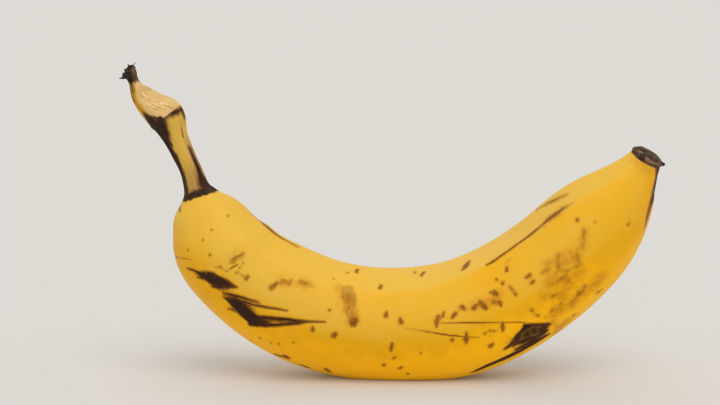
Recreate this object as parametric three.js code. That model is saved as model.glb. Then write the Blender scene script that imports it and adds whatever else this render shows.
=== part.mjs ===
// One ripe banana, picked whole, lying on its outer curve with both ends raised.
// Millimetres, +Z up, X along the fruit from the stem to the blossom end, -Y towards the front.
// The skin is one surface: rings are carried along a curved centre line, from the dry wick on the
// torn crown, down the stem, round the body and over the dark scar at the blossom end.

import * as THREE from 'three';

// Driving dimensions
const THICKNESS = 37.4; // across the thickest part of the body
const STEM_THICKNESS = 7.2; // across the slimmest part of the stem
const PRESS = 1.6; // how far the ripe belly gives where it rests, which leaves a flat spot
const RING_SHARE = 0.2; // distance between rings, as a share of the radius there
const RING_STEP_MIN = 1.0;
const RING_STEP_MAX = 3.4;

const BODY = THICKNESS / 2;
const STEM = STEM_THICKNESS / 2;

// Stations of the centre line, from the wick's tip to the blossom end. Each one has its place, the
// radius through the ridges as a share of BODY or STEM, how angular the section is, how far the
// ridges have turned about the centre line, and how far the section's inner side leans from square
// to the line towards the blossom end, both in degrees. The first and the last only guide the ends.
const station = (x, y, z, radius, angular, turn, lean = 0) => ({ x, y, z, radius, angular, turn, lean });
const STATIONS = [
  station(-85.4, 0.2, 105.6, STEM * 0.2, 1.4, -8),
  station(-85.5, 0.2, 103.6, STEM * 0.3, 1.4, -8),
  station(-86.0, 0.1, 101.4, STEM * 0.52, 1.4, -8),
  station(-85.4, 0.0, 99.3, STEM * 0.44, 1.4, -8),
  station(-84.5, 0.0, 97.2, STEM * 0.56, 1.2, -8),
  station(-83.2, 0.0, 95.0, STEM * 0.92, 1.0, -8),
  station(-80.9, 0.0, 92.6, STEM * 1.24, 1.0, -8),
  station(-77.9, 0.0, 89.8, STEM * 1.46, 1.1, -8),
  station(-74.3, 0.0, 87.0, STEM * 1.78, 1.2, -8),
  station(-72.5, 0.0, 82.5, STEM * 1.29, 1.5, -8),
  station(-70.6, 0.0, 78.2, STEM * 1.1, 1.7, -8),
  station(-68.2, 0.0, 72.9, STEM * 1.0, 1.8, -8),
  station(-66.3, 0.0, 68.6, STEM * 1.03, 1.8, -8),
  station(-65.0, 0.0, 64.2, STEM * 1.18, 1.6, -8, 2),
  station(-63.7, 0.0, 61.0, BODY * 0.311, 1.2, -8, 7.8),
  station(-62.0, 0.1, 57.1, BODY * 0.578, 0.9, -8, 6.9),
  station(-59.5, 0.2, 51.1, BODY * 0.731, 0.8, -8, 6.0),
  station(-56.4, 0.4, 44.3, BODY * 0.895, 0.9, -8, 3.7),
  station(-50.3, 0.7, 36.8, BODY * 0.914, 1.0, -7, 3.3),
  station(-39.6, 0.9, 28.9, BODY * 0.993, 1.0, -6),
  station(-26.6, 1.0, 22.4, BODY * 1.021, 1.0, -4),
  station(-12.1, 0.9, 18.8, BODY * 1.026, 1.0, -2),
  station(3.2, 0.7, 17.9, BODY * 1.036, 1.0, 0),
  station(18.5, 0.4, 19.4, BODY * 1.045, 1.0, 3),
  station(32.3, 0.0, 24.3, BODY * 1.034, 1.0, 7),
  station(44.8, -0.4, 31.8, BODY * 0.998, 1.05, 8),
  station(56.0, -0.8, 41.0, BODY * 0.96, 1.1, 5),
  station(65.6, -1.4, 51.3, BODY * 0.895, 1.2, 0),
  station(73.2, -2.1, 60.2, BODY * 0.69, 1.3, -5),
  station(78.4, -2.8, 67.7, BODY * 0.445, 1.4, -8),
  station(82.0, -3.6, 73.5, BODY * 0.285, 1.3, -8),
  station(84.7, -6.0, 78.3, BODY * 0.24, 1.2, -8),
];

// Ridges of the skin as angles in the section, from the front (0) to the inner curve (90), and how
// deep the face that follows each one sags below the circle through the ridges, as a share of it.
const RIDGES = [
  { angle: -82, sag: 0.13, steps: 11 },
  { angle: 45, sag: 0.04, steps: 4 },
  { angle: 88, sag: 0.06, steps: 6 },
  { angle: 150, sag: 0.06, steps: 6 },
  { angle: 215, sag: 0.055, steps: 6 },
];
const RIDGE_ROUNDING = 0.09;

// The crown was torn off, which left a flat pale face on the stem's end. It faces between the front
// and the inner curve. It deepens from its start to half way, and gets shallower again towards the
// stem, where the skin stands up round it.
const TEAR = { facing: 44, from: 2.9, half: 4.6, to: 6.9, depthFrom: 1.0, depthHalf: 0.38, depthTo: 0.66 };

// Scar at the blossom end: out from the axis as a share of the last ring, and along it in mm
const SCAR_PROFILE = [
  { out: 0.97, along: 0.3 },
  { out: 1.03, along: 0.6 },
  { out: 1.05, along: 1.1 },
  { out: 0.99, along: 1.7 },
  { out: 0.84, along: 2.3 },
  { out: 0.6, along: 2.5 },
  { out: 0.32, along: 2.6 },
];
const SCAR_TIP = 2.6;
const SCAR_WAVE = 0.05; // unevenness of the scar's rim

const rad = THREE.MathUtils.degToRad;
const KEYS = Object.keys(STATIONS[0]);

// Control values of the spline: each station is moved out by what the spline would smooth away there
const CONTROLS = STATIONS.map((here, i) => {
  const before = STATIONS[Math.max(i - 1, 0)];
  const after = STATIONS[Math.min(i + 1, STATIONS.length - 1)];
  return Object.fromEntries(KEYS.map((key) => {
    const bend = before[key] - 2 * here[key] + after[key];
    return [key, here[key] - (i > 0 && i < STATIONS.length - 1 ? bend / 6 : 0)];
  }));
});

// Weights of a uniform cubic B-spline at t, or of its slope
function splineWeights(t) {
  const s = 1 - t;
  return [s ** 3, 3 * t ** 3 - 6 * t ** 2 + 4, 3 * s ** 3 - 6 * s ** 2 + 4, t ** 3].map((w) => w / 6);
}

function slopeWeights(t) {
  return [-((1 - t) ** 2), 3 * t ** 2 - 4 * t, 1 + 2 * t - 3 * t ** 2, t ** 2].map((w) => w / 2);
}

// Everything about the section at u, which counts stations along the centre line
const LAST = STATIONS.length - 3;
function sectionAt(u) {
  const first = Math.min(Math.floor(u), LAST - 1);
  const four = CONTROLS.slice(first, first + 4);
  const mixed = (weights, key) => weights.reduce((sum, w, i) => sum + w * four[i][key], 0);
  const here = splineWeights(u - first);
  const slope = slopeWeights(u - first);
  const centre = new THREE.Vector3(mixed(here, 'x'), mixed(here, 'y'), mixed(here, 'z'));
  const along = new THREE.Vector3(mixed(slope, 'x'), mixed(slope, 'y'), mixed(slope, 'z'));
  const speed = along.length();
  along.normalize();
  const square = new THREE.Vector3(0, -1, 0).cross(along).normalize();
  const front = along.clone().cross(square);
  const inner = square.applyAxisAngle(front, -rad(mixed(here, 'lean')));
  return {
    u, centre, along, inner, front, speed,
    radius: mixed(here, 'radius'),
    angular: mixed(here, 'angular'),
    turn: rad(mixed(here, 'turn')),
  };
}

// Points round a section: each face is a share of the turn between its two ridges
const ROUND = RIDGES.flatMap((ridge, i) => {
  const next = RIDGES[(i + 1) % RIDGES.length].angle + (i + 1 === RIDGES.length ? 360 : 0);
  return Array.from({ length: ridge.steps }, (_, step) => {
    const share = step / ridge.steps;
    return { angle: rad(THREE.MathUtils.lerp(ridge.angle, next, share)), share, sag: ridge.sag };
  });
});

// Radius as a share of the ridge circle: a half sine across each face, rounded at its ridges
function faceShare({ share, sag }, angular) {
  const dip = Math.hypot(Math.sin(Math.PI * share), RIDGE_ROUNDING) - RIDGE_ROUNDING;
  return 1 - (sag * angular * dip) / (Math.hypot(1, RIDGE_ROUNDING) - RIDGE_ROUNDING);
}

// One point of the skin. On the torn crown, what reaches past the tear's flat face is cut back to it.
function skinPoint(section, spot) {
  const reach = section.radius * faceShare(spot, section.angular);
  const angle = spot.angle + section.turn;
  const offset = new THREE.Vector2(Math.cos(angle), Math.sin(angle)).multiplyScalar(reach);
  if (section.u > TEAR.from && section.u < TEAR.to) {
    const facing = new THREE.Vector2(Math.cos(rad(TEAR.facing)), Math.sin(rad(TEAR.facing)));
    const depth = section.u < TEAR.half
      ? THREE.MathUtils.mapLinear(section.u, TEAR.from, TEAR.half, TEAR.depthFrom, TEAR.depthHalf)
      : THREE.MathUtils.mapLinear(section.u, TEAR.half, TEAR.to, TEAR.depthHalf, TEAR.depthTo);
    const past = offset.dot(facing) - depth * section.radius;
    offset.addScaledVector(facing, -Math.max(past, 0));
  }
  return section.centre.clone().addScaledVector(section.front, offset.x).addScaledVector(section.inner, offset.y);
}

// Rings from the wick to the blossom end, closer together where the fruit is slim
function skinRings() {
  const rings = [];
  for (let u = 0; u < LAST;) {
    const section = sectionAt(u);
    rings.push(ROUND.map((spot) => skinPoint(section, spot)));
    u += THREE.MathUtils.clamp(section.radius * RING_SHARE, RING_STEP_MIN, RING_STEP_MAX) / section.speed;
  }
  const end = sectionAt(LAST);
  rings.push(ROUND.map((spot) => skinPoint(end, spot)));
  for (const { out, along } of SCAR_PROFILE) {
    rings.push(ROUND.map((spot) => {
      const wave = 1 + SCAR_WAVE * Math.sin(3 * spot.angle + 1) * Math.sin(2 * spot.angle);
      const section = { ...end, radius: end.radius * out * wave };
      return skinPoint(section, spot).addScaledVector(end.along, along);
    }));
  }
  return rings;
}

// A closed skin from rings of points, with a pole at each end
function closedSkin(rings, firstPole, lastPole) {
  const count = ROUND.length;
  const points = [firstPole, ...rings.flat(), lastPole];
  const at = (ring, i) => 1 + ring * count + (i % count);
  const faces = [];
  for (let i = 0; i < count; i += 1) {
    faces.push(0, at(0, i), at(0, i + 1));
    for (let ring = 0; ring < rings.length - 1; ring += 1) {
      faces.push(at(ring, i), at(ring + 1, i), at(ring + 1, i + 1));
      faces.push(at(ring, i), at(ring + 1, i + 1), at(ring, i + 1));
    }
    faces.push(at(rings.length - 1, i), points.length - 1, at(rings.length - 1, i + 1));
  }
  for (const point of points) point.z = Math.max(point.z, 0);
  const geometry = new THREE.BufferGeometry().setFromPoints(points);
  geometry.setIndex(faces);
  return geometry;
}

function bananaGeometry() {
  const rings = skinRings();
  const lowest = Math.min(...rings.flat().map((point) => point.z));
  const lift = -PRESS - lowest;
  const start = sectionAt(0);
  const end = sectionAt(LAST);
  const firstPole = start.centre.clone().addScaledVector(start.along, -start.radius * 0.5);
  const lastPole = end.centre.clone().addScaledVector(end.along, SCAR_TIP);
  for (const point of [firstPole, ...rings.flat(), lastPole]) point.z += lift;
  const geometry = closedSkin(rings, firstPole, lastPole);
  geometry.computeBoundingBox();
  const middle = geometry.boundingBox.getCenter(new THREE.Vector3());
  geometry.translate(-middle.x, -middle.y, 0);
  geometry.computeVertexNormals();
  return geometry;
}

const banana = new THREE.Group();
const peel = new THREE.MeshStandardMaterial({ color: 0xe6ae28, roughness: 0.5, metalness: 0 });
const fruit = new THREE.Mesh(bananaGeometry(), peel);
fruit.name = 'banana';
banana.add(fruit);

export default banana;
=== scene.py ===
"""One ripe banana on a plain pale floor, lying on its outer curve.

The skin is worked out from the same stations as the CAD solid, on a much finer grid, and takes its
marks as fields in millimetres that the peel's material turns into bruises, spots and stains.
"""

import itertools
import logging
import math
from dataclasses import dataclass
from enum import Enum

import bpy
import numpy as np
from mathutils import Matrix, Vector


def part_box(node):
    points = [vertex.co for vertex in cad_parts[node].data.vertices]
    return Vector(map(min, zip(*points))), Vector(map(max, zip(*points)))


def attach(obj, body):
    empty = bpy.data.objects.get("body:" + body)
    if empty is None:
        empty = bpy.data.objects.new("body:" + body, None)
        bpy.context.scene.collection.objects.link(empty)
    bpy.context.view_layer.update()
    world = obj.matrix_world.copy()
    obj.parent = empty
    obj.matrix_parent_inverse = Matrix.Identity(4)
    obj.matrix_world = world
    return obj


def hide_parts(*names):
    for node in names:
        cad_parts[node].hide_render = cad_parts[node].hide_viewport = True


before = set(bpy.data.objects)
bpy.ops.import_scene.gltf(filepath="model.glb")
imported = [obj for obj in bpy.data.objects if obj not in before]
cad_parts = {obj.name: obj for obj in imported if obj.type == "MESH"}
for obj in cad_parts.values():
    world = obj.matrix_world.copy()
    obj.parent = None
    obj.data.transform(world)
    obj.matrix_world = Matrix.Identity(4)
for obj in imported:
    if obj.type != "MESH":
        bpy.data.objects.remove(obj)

LOG = logging.getLogger("banana")
MM = 0.001
TINY = 1e-9
Pair = tuple[float, float]
Curve = tuple[tuple[float, ...], tuple[float, ...]]
Colour = tuple[float, float, float, float]


# Numbers and noise


def smooth(value: np.ndarray, low: float, high: float) -> np.ndarray:
    """Eases from 0 at low to 1 at high, as 3t^2 - 2t^3.

    Args:
        value: any array.
        low: where the ease starts.
        high: where it ends; below low it eases downwards.

    Returns:
        An array of the same shape, from 0 to 1.
    """
    t = np.clip((value - low) / (high - low), 0.0, 1.0)
    return t * t * (3.0 - 2.0 * t)


# Large odd numbers that scatter a lattice corner's place and its seed into a hashed number
CORNER_KEYS = (73856093, 19349663, 83492791)
SEED_KEY = 50331653
FIRST_SEED = 7
STIR = 1274126177
LOW_BITS = 0xFFFF


def lattice_noise(points: np.ndarray, seed: int) -> np.ndarray:
    """Smooth noise: a hashed number at each corner of a unit lattice, eased between corners.

    Args:
        points: array of n places, three numbers each, in lattice cells.
        seed: picks another pattern.

    Returns:
        n numbers from -1 to 1.
    """
    cell = np.floor(points).astype(np.int64)
    seed_key = (seed + FIRST_SEED) * SEED_KEY
    part = points - cell
    ease = part**3 * (part * (part * 6.0 - 15.0) + 10.0)
    total = np.zeros(len(points))
    for corner in itertools.product((0, 1), repeat=3):
        at = cell + np.array(corner)
        key = at[:, 0] * CORNER_KEYS[0] ^ at[:, 1] * CORNER_KEYS[1] ^ at[:, 2] * CORNER_KEYS[2] ^ seed_key
        key = (key ^ (key >> 13)) * STIR & 0xFFFFFFFF
        value = ((key ^ (key >> 16)) & LOW_BITS) / (LOW_BITS / 2) - 1.0
        total += value * np.prod(np.where(corner, ease, 1.0 - ease), axis=1)
    return total


class Spline:
    """A smooth line through rows of numbers; the first and the last row only guide its ends.

    It is a uniform cubic B-spline. Each control row is its own row less a sixth of the bend there,
    which is the row before, less twice the row, plus the row after, so the line meets the rows.
    """

    def __init__(self, rows: np.ndarray) -> None:
        """Works out the control rows.

        Args:
            rows: array of n rows.
        """
        bend = np.zeros_like(rows)
        bend[1:-1] = rows[:-2] - 2.0 * rows[1:-1] + rows[2:]
        self.controls = rows - bend / 6.0
        self.last = len(rows) - 3

    def at(self, place: np.ndarray) -> tuple[np.ndarray, np.ndarray]:
        """Values and slopes of the line.

        Args:
            place: n places, from 0 at the second row to last at the last but one.

        Returns:
            n rows of values and n rows of slopes for each place.
        """
        first = np.clip(np.floor(place).astype(int), 0, self.last - 1)
        t = place - first
        s = 1.0 - t
        here = np.stack([s**3, 3 * t**3 - 6 * t**2 + 4, 3 * s**3 - 6 * s**2 + 4, t**3], 1) / 6.0
        slope = np.stack([-(s**2), 3 * t**2 - 4 * t, 1 + 2 * t - 3 * t**2, t**2], 1) / 2.0
        four = self.controls[first[:, None] + np.arange(4)]
        return np.einsum("nk,nkc->nc", here, four), np.einsum("nk,nkc->nc", slope, four)


# Meshes


def make_object(
    name: str, points: np.ndarray, faces: np.ndarray, material: bpy.types.Material
) -> bpy.types.Object:
    """Puts a smooth-shaded mesh into the scene, with its place in its mesh.

    Args:
        name: the piece's name.
        points: array of n points in metres.
        faces: array of faces, four corners each; the fourth is -1 on a triangle.
        material: its finish.

    Returns:
        The new object.
    """
    mesh = bpy.data.meshes.new(name)
    sizes = np.where(faces[:, 3] < 0, 3, 4)
    corners = faces[faces >= 0]
    mesh.vertices.add(len(points))
    mesh.vertices.foreach_set("co", points.astype(np.float32).ravel())
    mesh.loops.add(len(corners))
    mesh.loops.foreach_set("vertex_index", corners.astype(np.int32))
    mesh.polygons.add(len(faces))
    mesh.polygons.foreach_set("loop_start", (np.cumsum(sizes) - sizes).astype(np.int32))
    mesh.polygons.foreach_set("use_smooth", np.ones(len(faces), dtype=bool))
    mesh.update(calc_edges=True)
    mesh.validate()
    mesh.materials.append(material)
    piece = bpy.data.objects.new(name, mesh)
    bpy.context.scene.collection.objects.link(piece)
    return piece


def closed_faces(rows: int, columns: int) -> np.ndarray:
    """Faces of a closed skin: a pole, rows of points that close on themselves, and a pole.

    Args:
        rows: number of rows between the poles.
        columns: points in each row.

    Returns:
        Faces of four corners, with -1 as the fourth of each triangle at a pole.
    """
    row, column = np.meshgrid(np.arange(rows - 1), np.arange(columns), indexing="ij")
    after = (column + 1) % columns
    here, beyond = row * columns, (row + 1) * columns
    body = 1 + np.stack([here + column, beyond + column, beyond + after, here + after], -1).reshape(-1, 4)
    column = np.arange(columns)
    after = (column + 1) % columns
    none = np.full(columns, -1)
    end = 1 + (rows - 1) * columns
    first = np.stack([np.zeros(columns, int), 1 + column, 1 + after, none], 1)
    last = np.stack([end + column, np.full(columns, 1 + rows * columns), end + after, none], 1)
    return np.concatenate([first, body, last])


def grid_normals(grid: np.ndarray) -> np.ndarray:
    """Outward normals of a grid of rows round a line: the slope round crossed with the slope along.

    Args:
        grid: array of rows by columns by three.

    Returns:
        Unit normals in the same layout.
    """
    along = np.gradient(grid, axis=0)
    round_about = np.roll(grid, -1, axis=1) - np.roll(grid, 1, axis=1)
    normal = np.cross(along, round_about)
    return normal / np.maximum(np.linalg.norm(normal, axis=2, keepdims=True), TINY)


# The photograph's view


@dataclass(frozen=True)
class PhotoView:
    """Where the photograph was taken from, and how places in it fall on the fruit."""

    width: float = 720.0
    height: float = 405.0
    focal: float = 1700.0
    distance: float = 561.0
    pitch: float = 7.0
    target: tuple[float, float, float] = (-11.05, 0.0, 58.4)
    sensor: float = 36.0

    def frame(self) -> tuple[np.ndarray, np.ndarray]:
        """Place and directions of the camera.

        Returns:
            Its place in mm, and its right, up and back directions as rows.
        """
        pitch = math.radians(self.pitch)
        back = np.array([0.0, -math.cos(pitch), math.sin(pitch)])
        up = np.array([0.0, math.sin(pitch), math.cos(pitch)])
        right = np.array([1.0, 0.0, 0.0])
        return np.array(self.target) + back * self.distance, np.stack([right, up, back])

    def project(self, points: np.ndarray) -> np.ndarray:
        """Where points show in the photograph: the focal length times the sideways share of the depth.

        Args:
            points: places in mm.

        Returns:
            Pixels across and down for each.
        """
        place, axes = self.frame()
        local = (points - place) @ axes.T
        depth = -local[..., 2]
        x = self.width / 2 + self.focal * local[..., 0] / depth
        y = self.height / 2 - self.focal * local[..., 1] / depth
        return np.stack([x, y], -1)

    def camera(self) -> bpy.types.Object:
        """Makes the scene's camera.

        Returns:
            The camera object.
        """
        data = bpy.data.cameras.new("camera")
        data.sensor_width = self.sensor
        data.lens = self.focal / self.width * self.sensor
        data.clip_start = 0.01
        data.clip_end = 100.0
        camera = bpy.data.objects.new("camera", data)
        place, axes = self.frame()
        camera.location = Vector(place * MM)
        camera.rotation_mode = "QUATERNION"
        camera.rotation_quaternion = Vector(axes[2]).to_track_quat("Z", "Y")
        bpy.context.scene.collection.objects.link(camera)
        bpy.context.scene.camera = camera
        return camera


# Marks on the skin


class Mark(Enum):
    """Kinds of mark; the value is the name of the field that the skin carries for it, in mm."""

    BRUISE = "bruise"
    SPOT = "spot"
    STAIN = "stain"
    SCUFF = "scuff"
    CHAR = "char"
    CREASE = "crease"
    RIPE = "ripe"
    WORN = "worn"
    SMEAR = "smear"
    PULP = "pulp"
    GLINT = "glint"


# Kinds whose edges are finer than the skin's grid: the skin also carries the way from the mark's
# middle line to each point, and the mark's half width there, so that the material finds the edge.
FINE = (Mark.BRUISE, Mark.SPOT, Mark.SCUFF, Mark.CREASE, Mark.SMEAR)


# Depth outside every mark, in mm
FAR = 9.0

# Size on the fruit of one pixel of the photograph, in mm
PHOTO_MM = 0.33

# Strokes seen on the front, each a chain of points: pixels across and down the photograph, and the
# stroke's half width there, also in pixels.
SEEN = {
    Mark.BRUISE: (
        ((187, 267.6, 0.5), (192, 270, 1.0), (198, 272.8, 1.8), (204, 276, 4.4), (211, 279, 6.4),
         (219, 281.8, 6.8), (226, 284, 5.0), (232, 286, 2.4), (237, 287.6, 0.5)),
        ((198, 277.6, 0.6), (206, 279, 1.6)),
        ((203, 271.2, 0.6), (213, 274, 1.8)),
        ((212, 286.4, 1.2), (220, 288, 1.4), (228, 288.8, 0.5)),
        ((223.5, 293.2, 0.8), (232, 295.6, 2.0), (241, 297.8, 1.7), (250, 300, 1.1), (258.5, 301.8, 0.3)),
        ((234, 299, 1.6), (242, 302.2, 1.8), (252, 304.8, 1.3), (264, 307, 1.0), (276, 309, 0.7),
         (287, 310.8, 0.3)),
        ((226.5, 298.6, 1.8), (231, 301, 4.4), (237, 305.5, 7.2), (244, 311.5, 8.2), (251, 317.5, 8.2),
         (257, 321, 5.8), (264, 321.8, 2.8), (268, 322, 1.0)),
        ((254, 318, 3.4), (262, 318.4, 2.8), (272, 318.8, 2.4), (285, 319.6, 2.0), (297, 320.8, 1.7),
         (306, 321.7, 1.1), (325, 322.3, 0.3)),
        ((250, 324, 2.8), (260, 325.4, 2.3), (271, 325.2, 2.1), (284, 324.6, 1.7), (297, 323.4, 1.4),
         (306, 322.4, 0.9)),
        ((223.5, 297.6, 0.4), (229, 298.8, 0.9)),
        ((228.5, 309, 0.4), (236, 311, 1.3)),
        ((504.5, 349.4, 0.8), (510, 345.8, 2.2), (515, 341, 3.6), (520, 336.6, 5.2), (526, 332, 6.6),
         (533, 329.4, 6.2), (540, 328, 5.0), (546, 326.4, 2.8), (550, 324.2, 0.9)),
        ((525, 325.6, 1.8), (537, 325, 1.6), (549, 324, 0.9)),
        ((513, 346, 1.2), (522, 341.5, 2.8), (530, 337.8, 3.6), (537, 334.4, 4.0), (542, 331.4, 3.8),
         (545.5, 328, 2.6)),
        ((515, 349.6, 0.8), (521, 347.6, 2.4), (528, 343.8, 3.6), (536, 339, 3.8), (543, 334.4, 3.2),
         (547, 331, 1.8)),
        ((658.4, 168, 2.2), (657.4, 176, 3.4), (656.2, 185, 5.6), (654.2, 193, 4.8), (651, 204, 2.6)),
        ((471, 372.8, 0.8), (477, 370.6, 1.8), (487, 366.2, 2.8), (497, 362, 2.5), (508, 357.2, 3.2),
         (518, 352.2, 4.0), (527, 347.3, 4.0), (536, 342.2, 3.4), (544, 337.2, 2.4), (549, 334.4, 1.0)),
    ),
    Mark.SPOT: (
        ((462.8, 269, 2.2), (464.8, 266.8, 3.4), (466.8, 263.8, 3.4), (468.6, 261.4, 2.2)),
        ((246, 279.2, 1.6), (247.6, 276.8, 1.5)),
        ((271.6, 287.8, 3.0), (273.6, 286, 2.2), (277, 282.4, 1.2)),
        ((353.4, 322.6, 4.6), (355, 320.4, 3.6)),
        ((334, 335.4, 3.4), (335.4, 334, 2.8)),
        ((312.6, 326.8, 1.0), (312.8, 330, 2.3)),
        ((325.6, 369, 2.0), (329, 371.8, 2.6)),
        ((356.6, 271.8, 1.8), (357.8, 269.2, 1.7)),
        ((379.6, 288, 1.9), (381.2, 285, 1.8)),
        ((414.4, 272.6, 1.1), (415, 271, 1.0)),
        ((421.4, 274.8, 1.9), (423.8, 271.6, 1.9)),
        ((386.6, 311.8, 1.2), (385.8, 315.6, 2.7)),
        ((400.2, 318.4, 1.3), (401, 322, 2.8)),
        ((391.8, 343.4, 1.5), (391.2, 347.4, 2.3), (391, 350.4, 1.4)),
        ((393.6, 358.4, 1.5), (395, 357, 0.9)),
        ((400, 368.6, 2.0), (401.4, 367, 1.2)),
        ((438.2, 316.6, 1.8), (437, 321, 2.8), (436.4, 327, 1.2)),
        ((443.6, 312.2, 1.0), (443, 316.4, 1.7)),
        ((452, 318, 1.5), (455.2, 314, 2.4)),
        ((462.4, 306.6, 2.2), (464, 308.6, 1.8)),
        ((474, 308.4, 2.8), (476, 305.6, 1.8)),
        ((484, 306.4, 3.4), (486, 308, 2.6)),
        ((495.2, 293, 3.2), (497, 294.6, 2.2)),
        ((499.2, 302.6, 2.5), (501, 305.8, 1.4)),
        ((506.9, 267, 1.1), (506.5, 270.4, 2.0)),
        ((510.2, 287.4, 0.9), (511.6, 289.4, 0.6)),
        ((526, 277.6, 1.4), (529.6, 275, 2.0)),
        ((532.4, 282.6, 2.3), (534, 281.2, 1.4)),
        ((502.8, 323, 1.6), (502.8, 327, 2.4), (502.6, 331, 1.2)),
        ((466.6, 332.6, 1.2), (466.2, 338.6, 3.1), (466.4, 343, 1.4)),
        ((490.6, 346, 2.8), (492.4, 344.6, 1.9)),
        ((558.4, 266, 0.9), (558, 268, 0.6)),
        ((561, 279, 1.0), (563.4, 277.4, 0.7)),
        ((579.6, 293, 1.5), (577, 295.6, 0.9)),
        ((584.2, 231, 0.9), (585, 233, 0.5)),
    ),
    Mark.SMEAR: (
        ((348, 290, 6.6), (349.4, 300, 7.2), (351, 311, 6.6), (352.6, 318, 5.0)),
        ((230, 263, 1.2), (236, 259, 2.6), (242, 254.6, 2.2), (245, 252.6, 1.0)),
        ((216, 267, 1.2), (220, 267, 1.6)),
        ((237, 272, 0.8), (242, 275.2, 1.2), (246.6, 278.2, 2.2)),
        ((277, 283.6, 1.6), (282, 281.4, 2.2), (290, 282.4, 2.4)),
        ((300, 281.4, 1.8), (306.6, 283.6, 2.8), (312, 285.4, 1.4)),
        ((557.8, 254, 1.4), (558, 262, 1.9), (558.6, 268, 2.6), (556, 273, 1.4)),
        ((562, 272, 1.6), (568, 270.2, 1.9), (575, 267, 2.2), (581, 264.6, 1.2)),
        ((553, 284, 1.2), (560, 279, 2.6), (566, 275, 2.2)),
        ((541.2, 273.4, 1.4), (546, 270.6, 2.2), (549, 269.4, 1.4)),
        ((571, 277, 1.2), (566.6, 283, 1.8)),
        ((577, 249, 1.2), (577.4, 257, 1.6), (579, 263, 1.0)),
        ((583, 230, 2.2), (584.4, 238, 1.7), (583, 245, 1.2)),
        ((579.6, 293, 3.2), (575, 297.4, 2.2), (571.4, 301.7, 1.4)),
        ((584.8, 285.4, 1.9), (583.6, 290.6, 1.2)),
        ((597, 292.2, 2.4), (602, 288.6, 1.6)),
        ((552.6, 296.2, 2.8), (557, 294.4, 1.6)),
        ((561, 303.8, 2.0), (563.4, 298.6, 1.2)),
        ((573.6, 314.8, 2.4), (578, 313, 1.2)),
        ((531.4, 310.4, 2.6), (534.4, 313.4, 1.6), (537.5, 315.8, 2.4)),
        ((550.4, 312, 1.2), (552.4, 309.6, 2.0)),
        ((628, 224.5, 2.2), (630, 222, 1.0)),
        ((509.6, 286.2, 1.6), (513, 291, 2.2), (516.4, 295.2, 2.4)),
        ((494, 301, 2.4), (500, 304, 3.0)),
        ((461, 307, 3.2), (465, 309, 2.4)),
        ((489, 331.4, 1.2), (496, 331, 1.6)),
        ((487, 264.4, 1.8), (497, 258, 2.4), (510, 249, 2.4), (524, 239, 2.4), (537, 229.4, 3.0),
         (548, 220, 4.4), (558, 212.6, 5.0), (567, 206.4, 3.4), (573, 203, 1.2)),
        ((537, 209.6, 2.2), (548, 203.4, 3.8), (558, 199, 4.4), (567, 194.6, 2.6)),
        ((658, 167.5, 2.6), (657, 176, 4.4), (656, 185, 6.4), (653.8, 194, 6.0), (650, 207, 4.8),
         (646.4, 220, 3.8), (643, 230, 2.0)),
        ((130.6, 83, 2.4), (132, 89, 3.6), (134.6, 96, 2.8)),
        ((252, 214, 1.2), (258, 219.4, 2.2), (267, 227, 2.8), (276, 234, 2.4), (288, 241.4, 1.9),
         (299, 247, 1.4)),
        ((510, 259, 0.8), (506, 262.4, 0.6)),
        ((404, 328, 0.5), (418, 330.4, 0.8), (430, 332.2, 0.9)),
    ),
    Mark.STAIN: (
        ((341, 290, 4.0), (347, 304, 6.0), (352, 319, 5.4)),
        ((548, 264, 5.0), (560, 262, 8.0), (574, 258, 7.0)),
        ((552, 282, 7.0), (566, 284, 9.0), (578, 276, 7.0)),
        ((546, 296, 6.0), (560, 296, 8.0), (574, 300, 6.0)),
        ((584, 232, 3.4), (582, 246, 4.0)),
        ((553, 322, 5.0), (558, 330, 7.0), (566, 322, 6.0)),
        ((545, 222, 4.0), (560, 211, 4.4)),
        ((554, 313, 5.0), (570, 303, 8.0), (588, 289, 7.0), (603, 276, 4.6)),
        ((474, 306, 3.4), (490, 300, 5.0), (500, 292, 3.4)),
        ((508, 344, 3.0), (520, 336, 5.0), (545, 330, 5.0)),
        ((282, 281, 3.0), (296, 283, 4.4), (310, 284, 3.0)),
        ((232, 260, 2.0), (240, 256, 3.4)),
        ((634, 161, 2.4), (640, 166, 4.4), (647, 169.6, 2.6)),
    ),
    Mark.SCUFF: (
        ((228.9, 269.8, 0.5), (233, 267, 0.9), (237.8, 264.4, 0.5)),
        ((233, 259.6, 0.4), (237, 256.6, 0.8), (242.6, 254.4, 0.4)),
        ((176.5, 256.7, 0.8), (184, 257.6, 0.6), (191, 258.9, 0.4)),
        ((252, 213.8, 0.8), (257, 218, 1.5), (264, 224.4, 2.1), (270, 229, 2.0), (276, 233.8, 1.6),
         (284, 239, 1.2)),
        ((285, 239.6, 1.1), (292, 243.2, 1.0), (298.6, 246.6, 0.8)),
        ((275.6, 354.6, 1.8), (286, 357.4, 3.0)),
        ((301, 364.8, 2.0), (308, 367.6, 2.4)),
        ((181, 202.6, 2.0), (180, 207.4, 2.0), (180.6, 212, 0.9)),
        ((441, 323.2, 0.4), (457.8, 322.8, 0.7), (472, 322.8, 1.0), (490, 322.6, 0.8), (519, 322.4, 0.6),
         (547.8, 323.2, 0.9)),
        ((420, 330.6, 0.4), (430, 332.2, 0.7), (446.7, 335, 1.0), (463.3, 336.7, 0.8), (478.9, 337.4, 0.3)),
        ((487, 264.6, 0.9), (493, 261.2, 1.6), (496.7, 258.9, 1.1), (502, 254.8, 1.6), (508, 250.6, 1.3),
         (514, 246.2, 1.8), (521, 241, 1.5), (527, 237, 1.3), (533, 232.2, 1.8), (539, 227.6, 1.4)),
        ((541, 226, 1.0), (547, 220.6, 2.2), (554, 215.4, 2.6), (561, 210.4, 2.0), (566, 207, 0.8)),
        ((543, 206.6, 0.6), (552, 201.6, 1.1), (560, 197.6, 0.8)),
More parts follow.
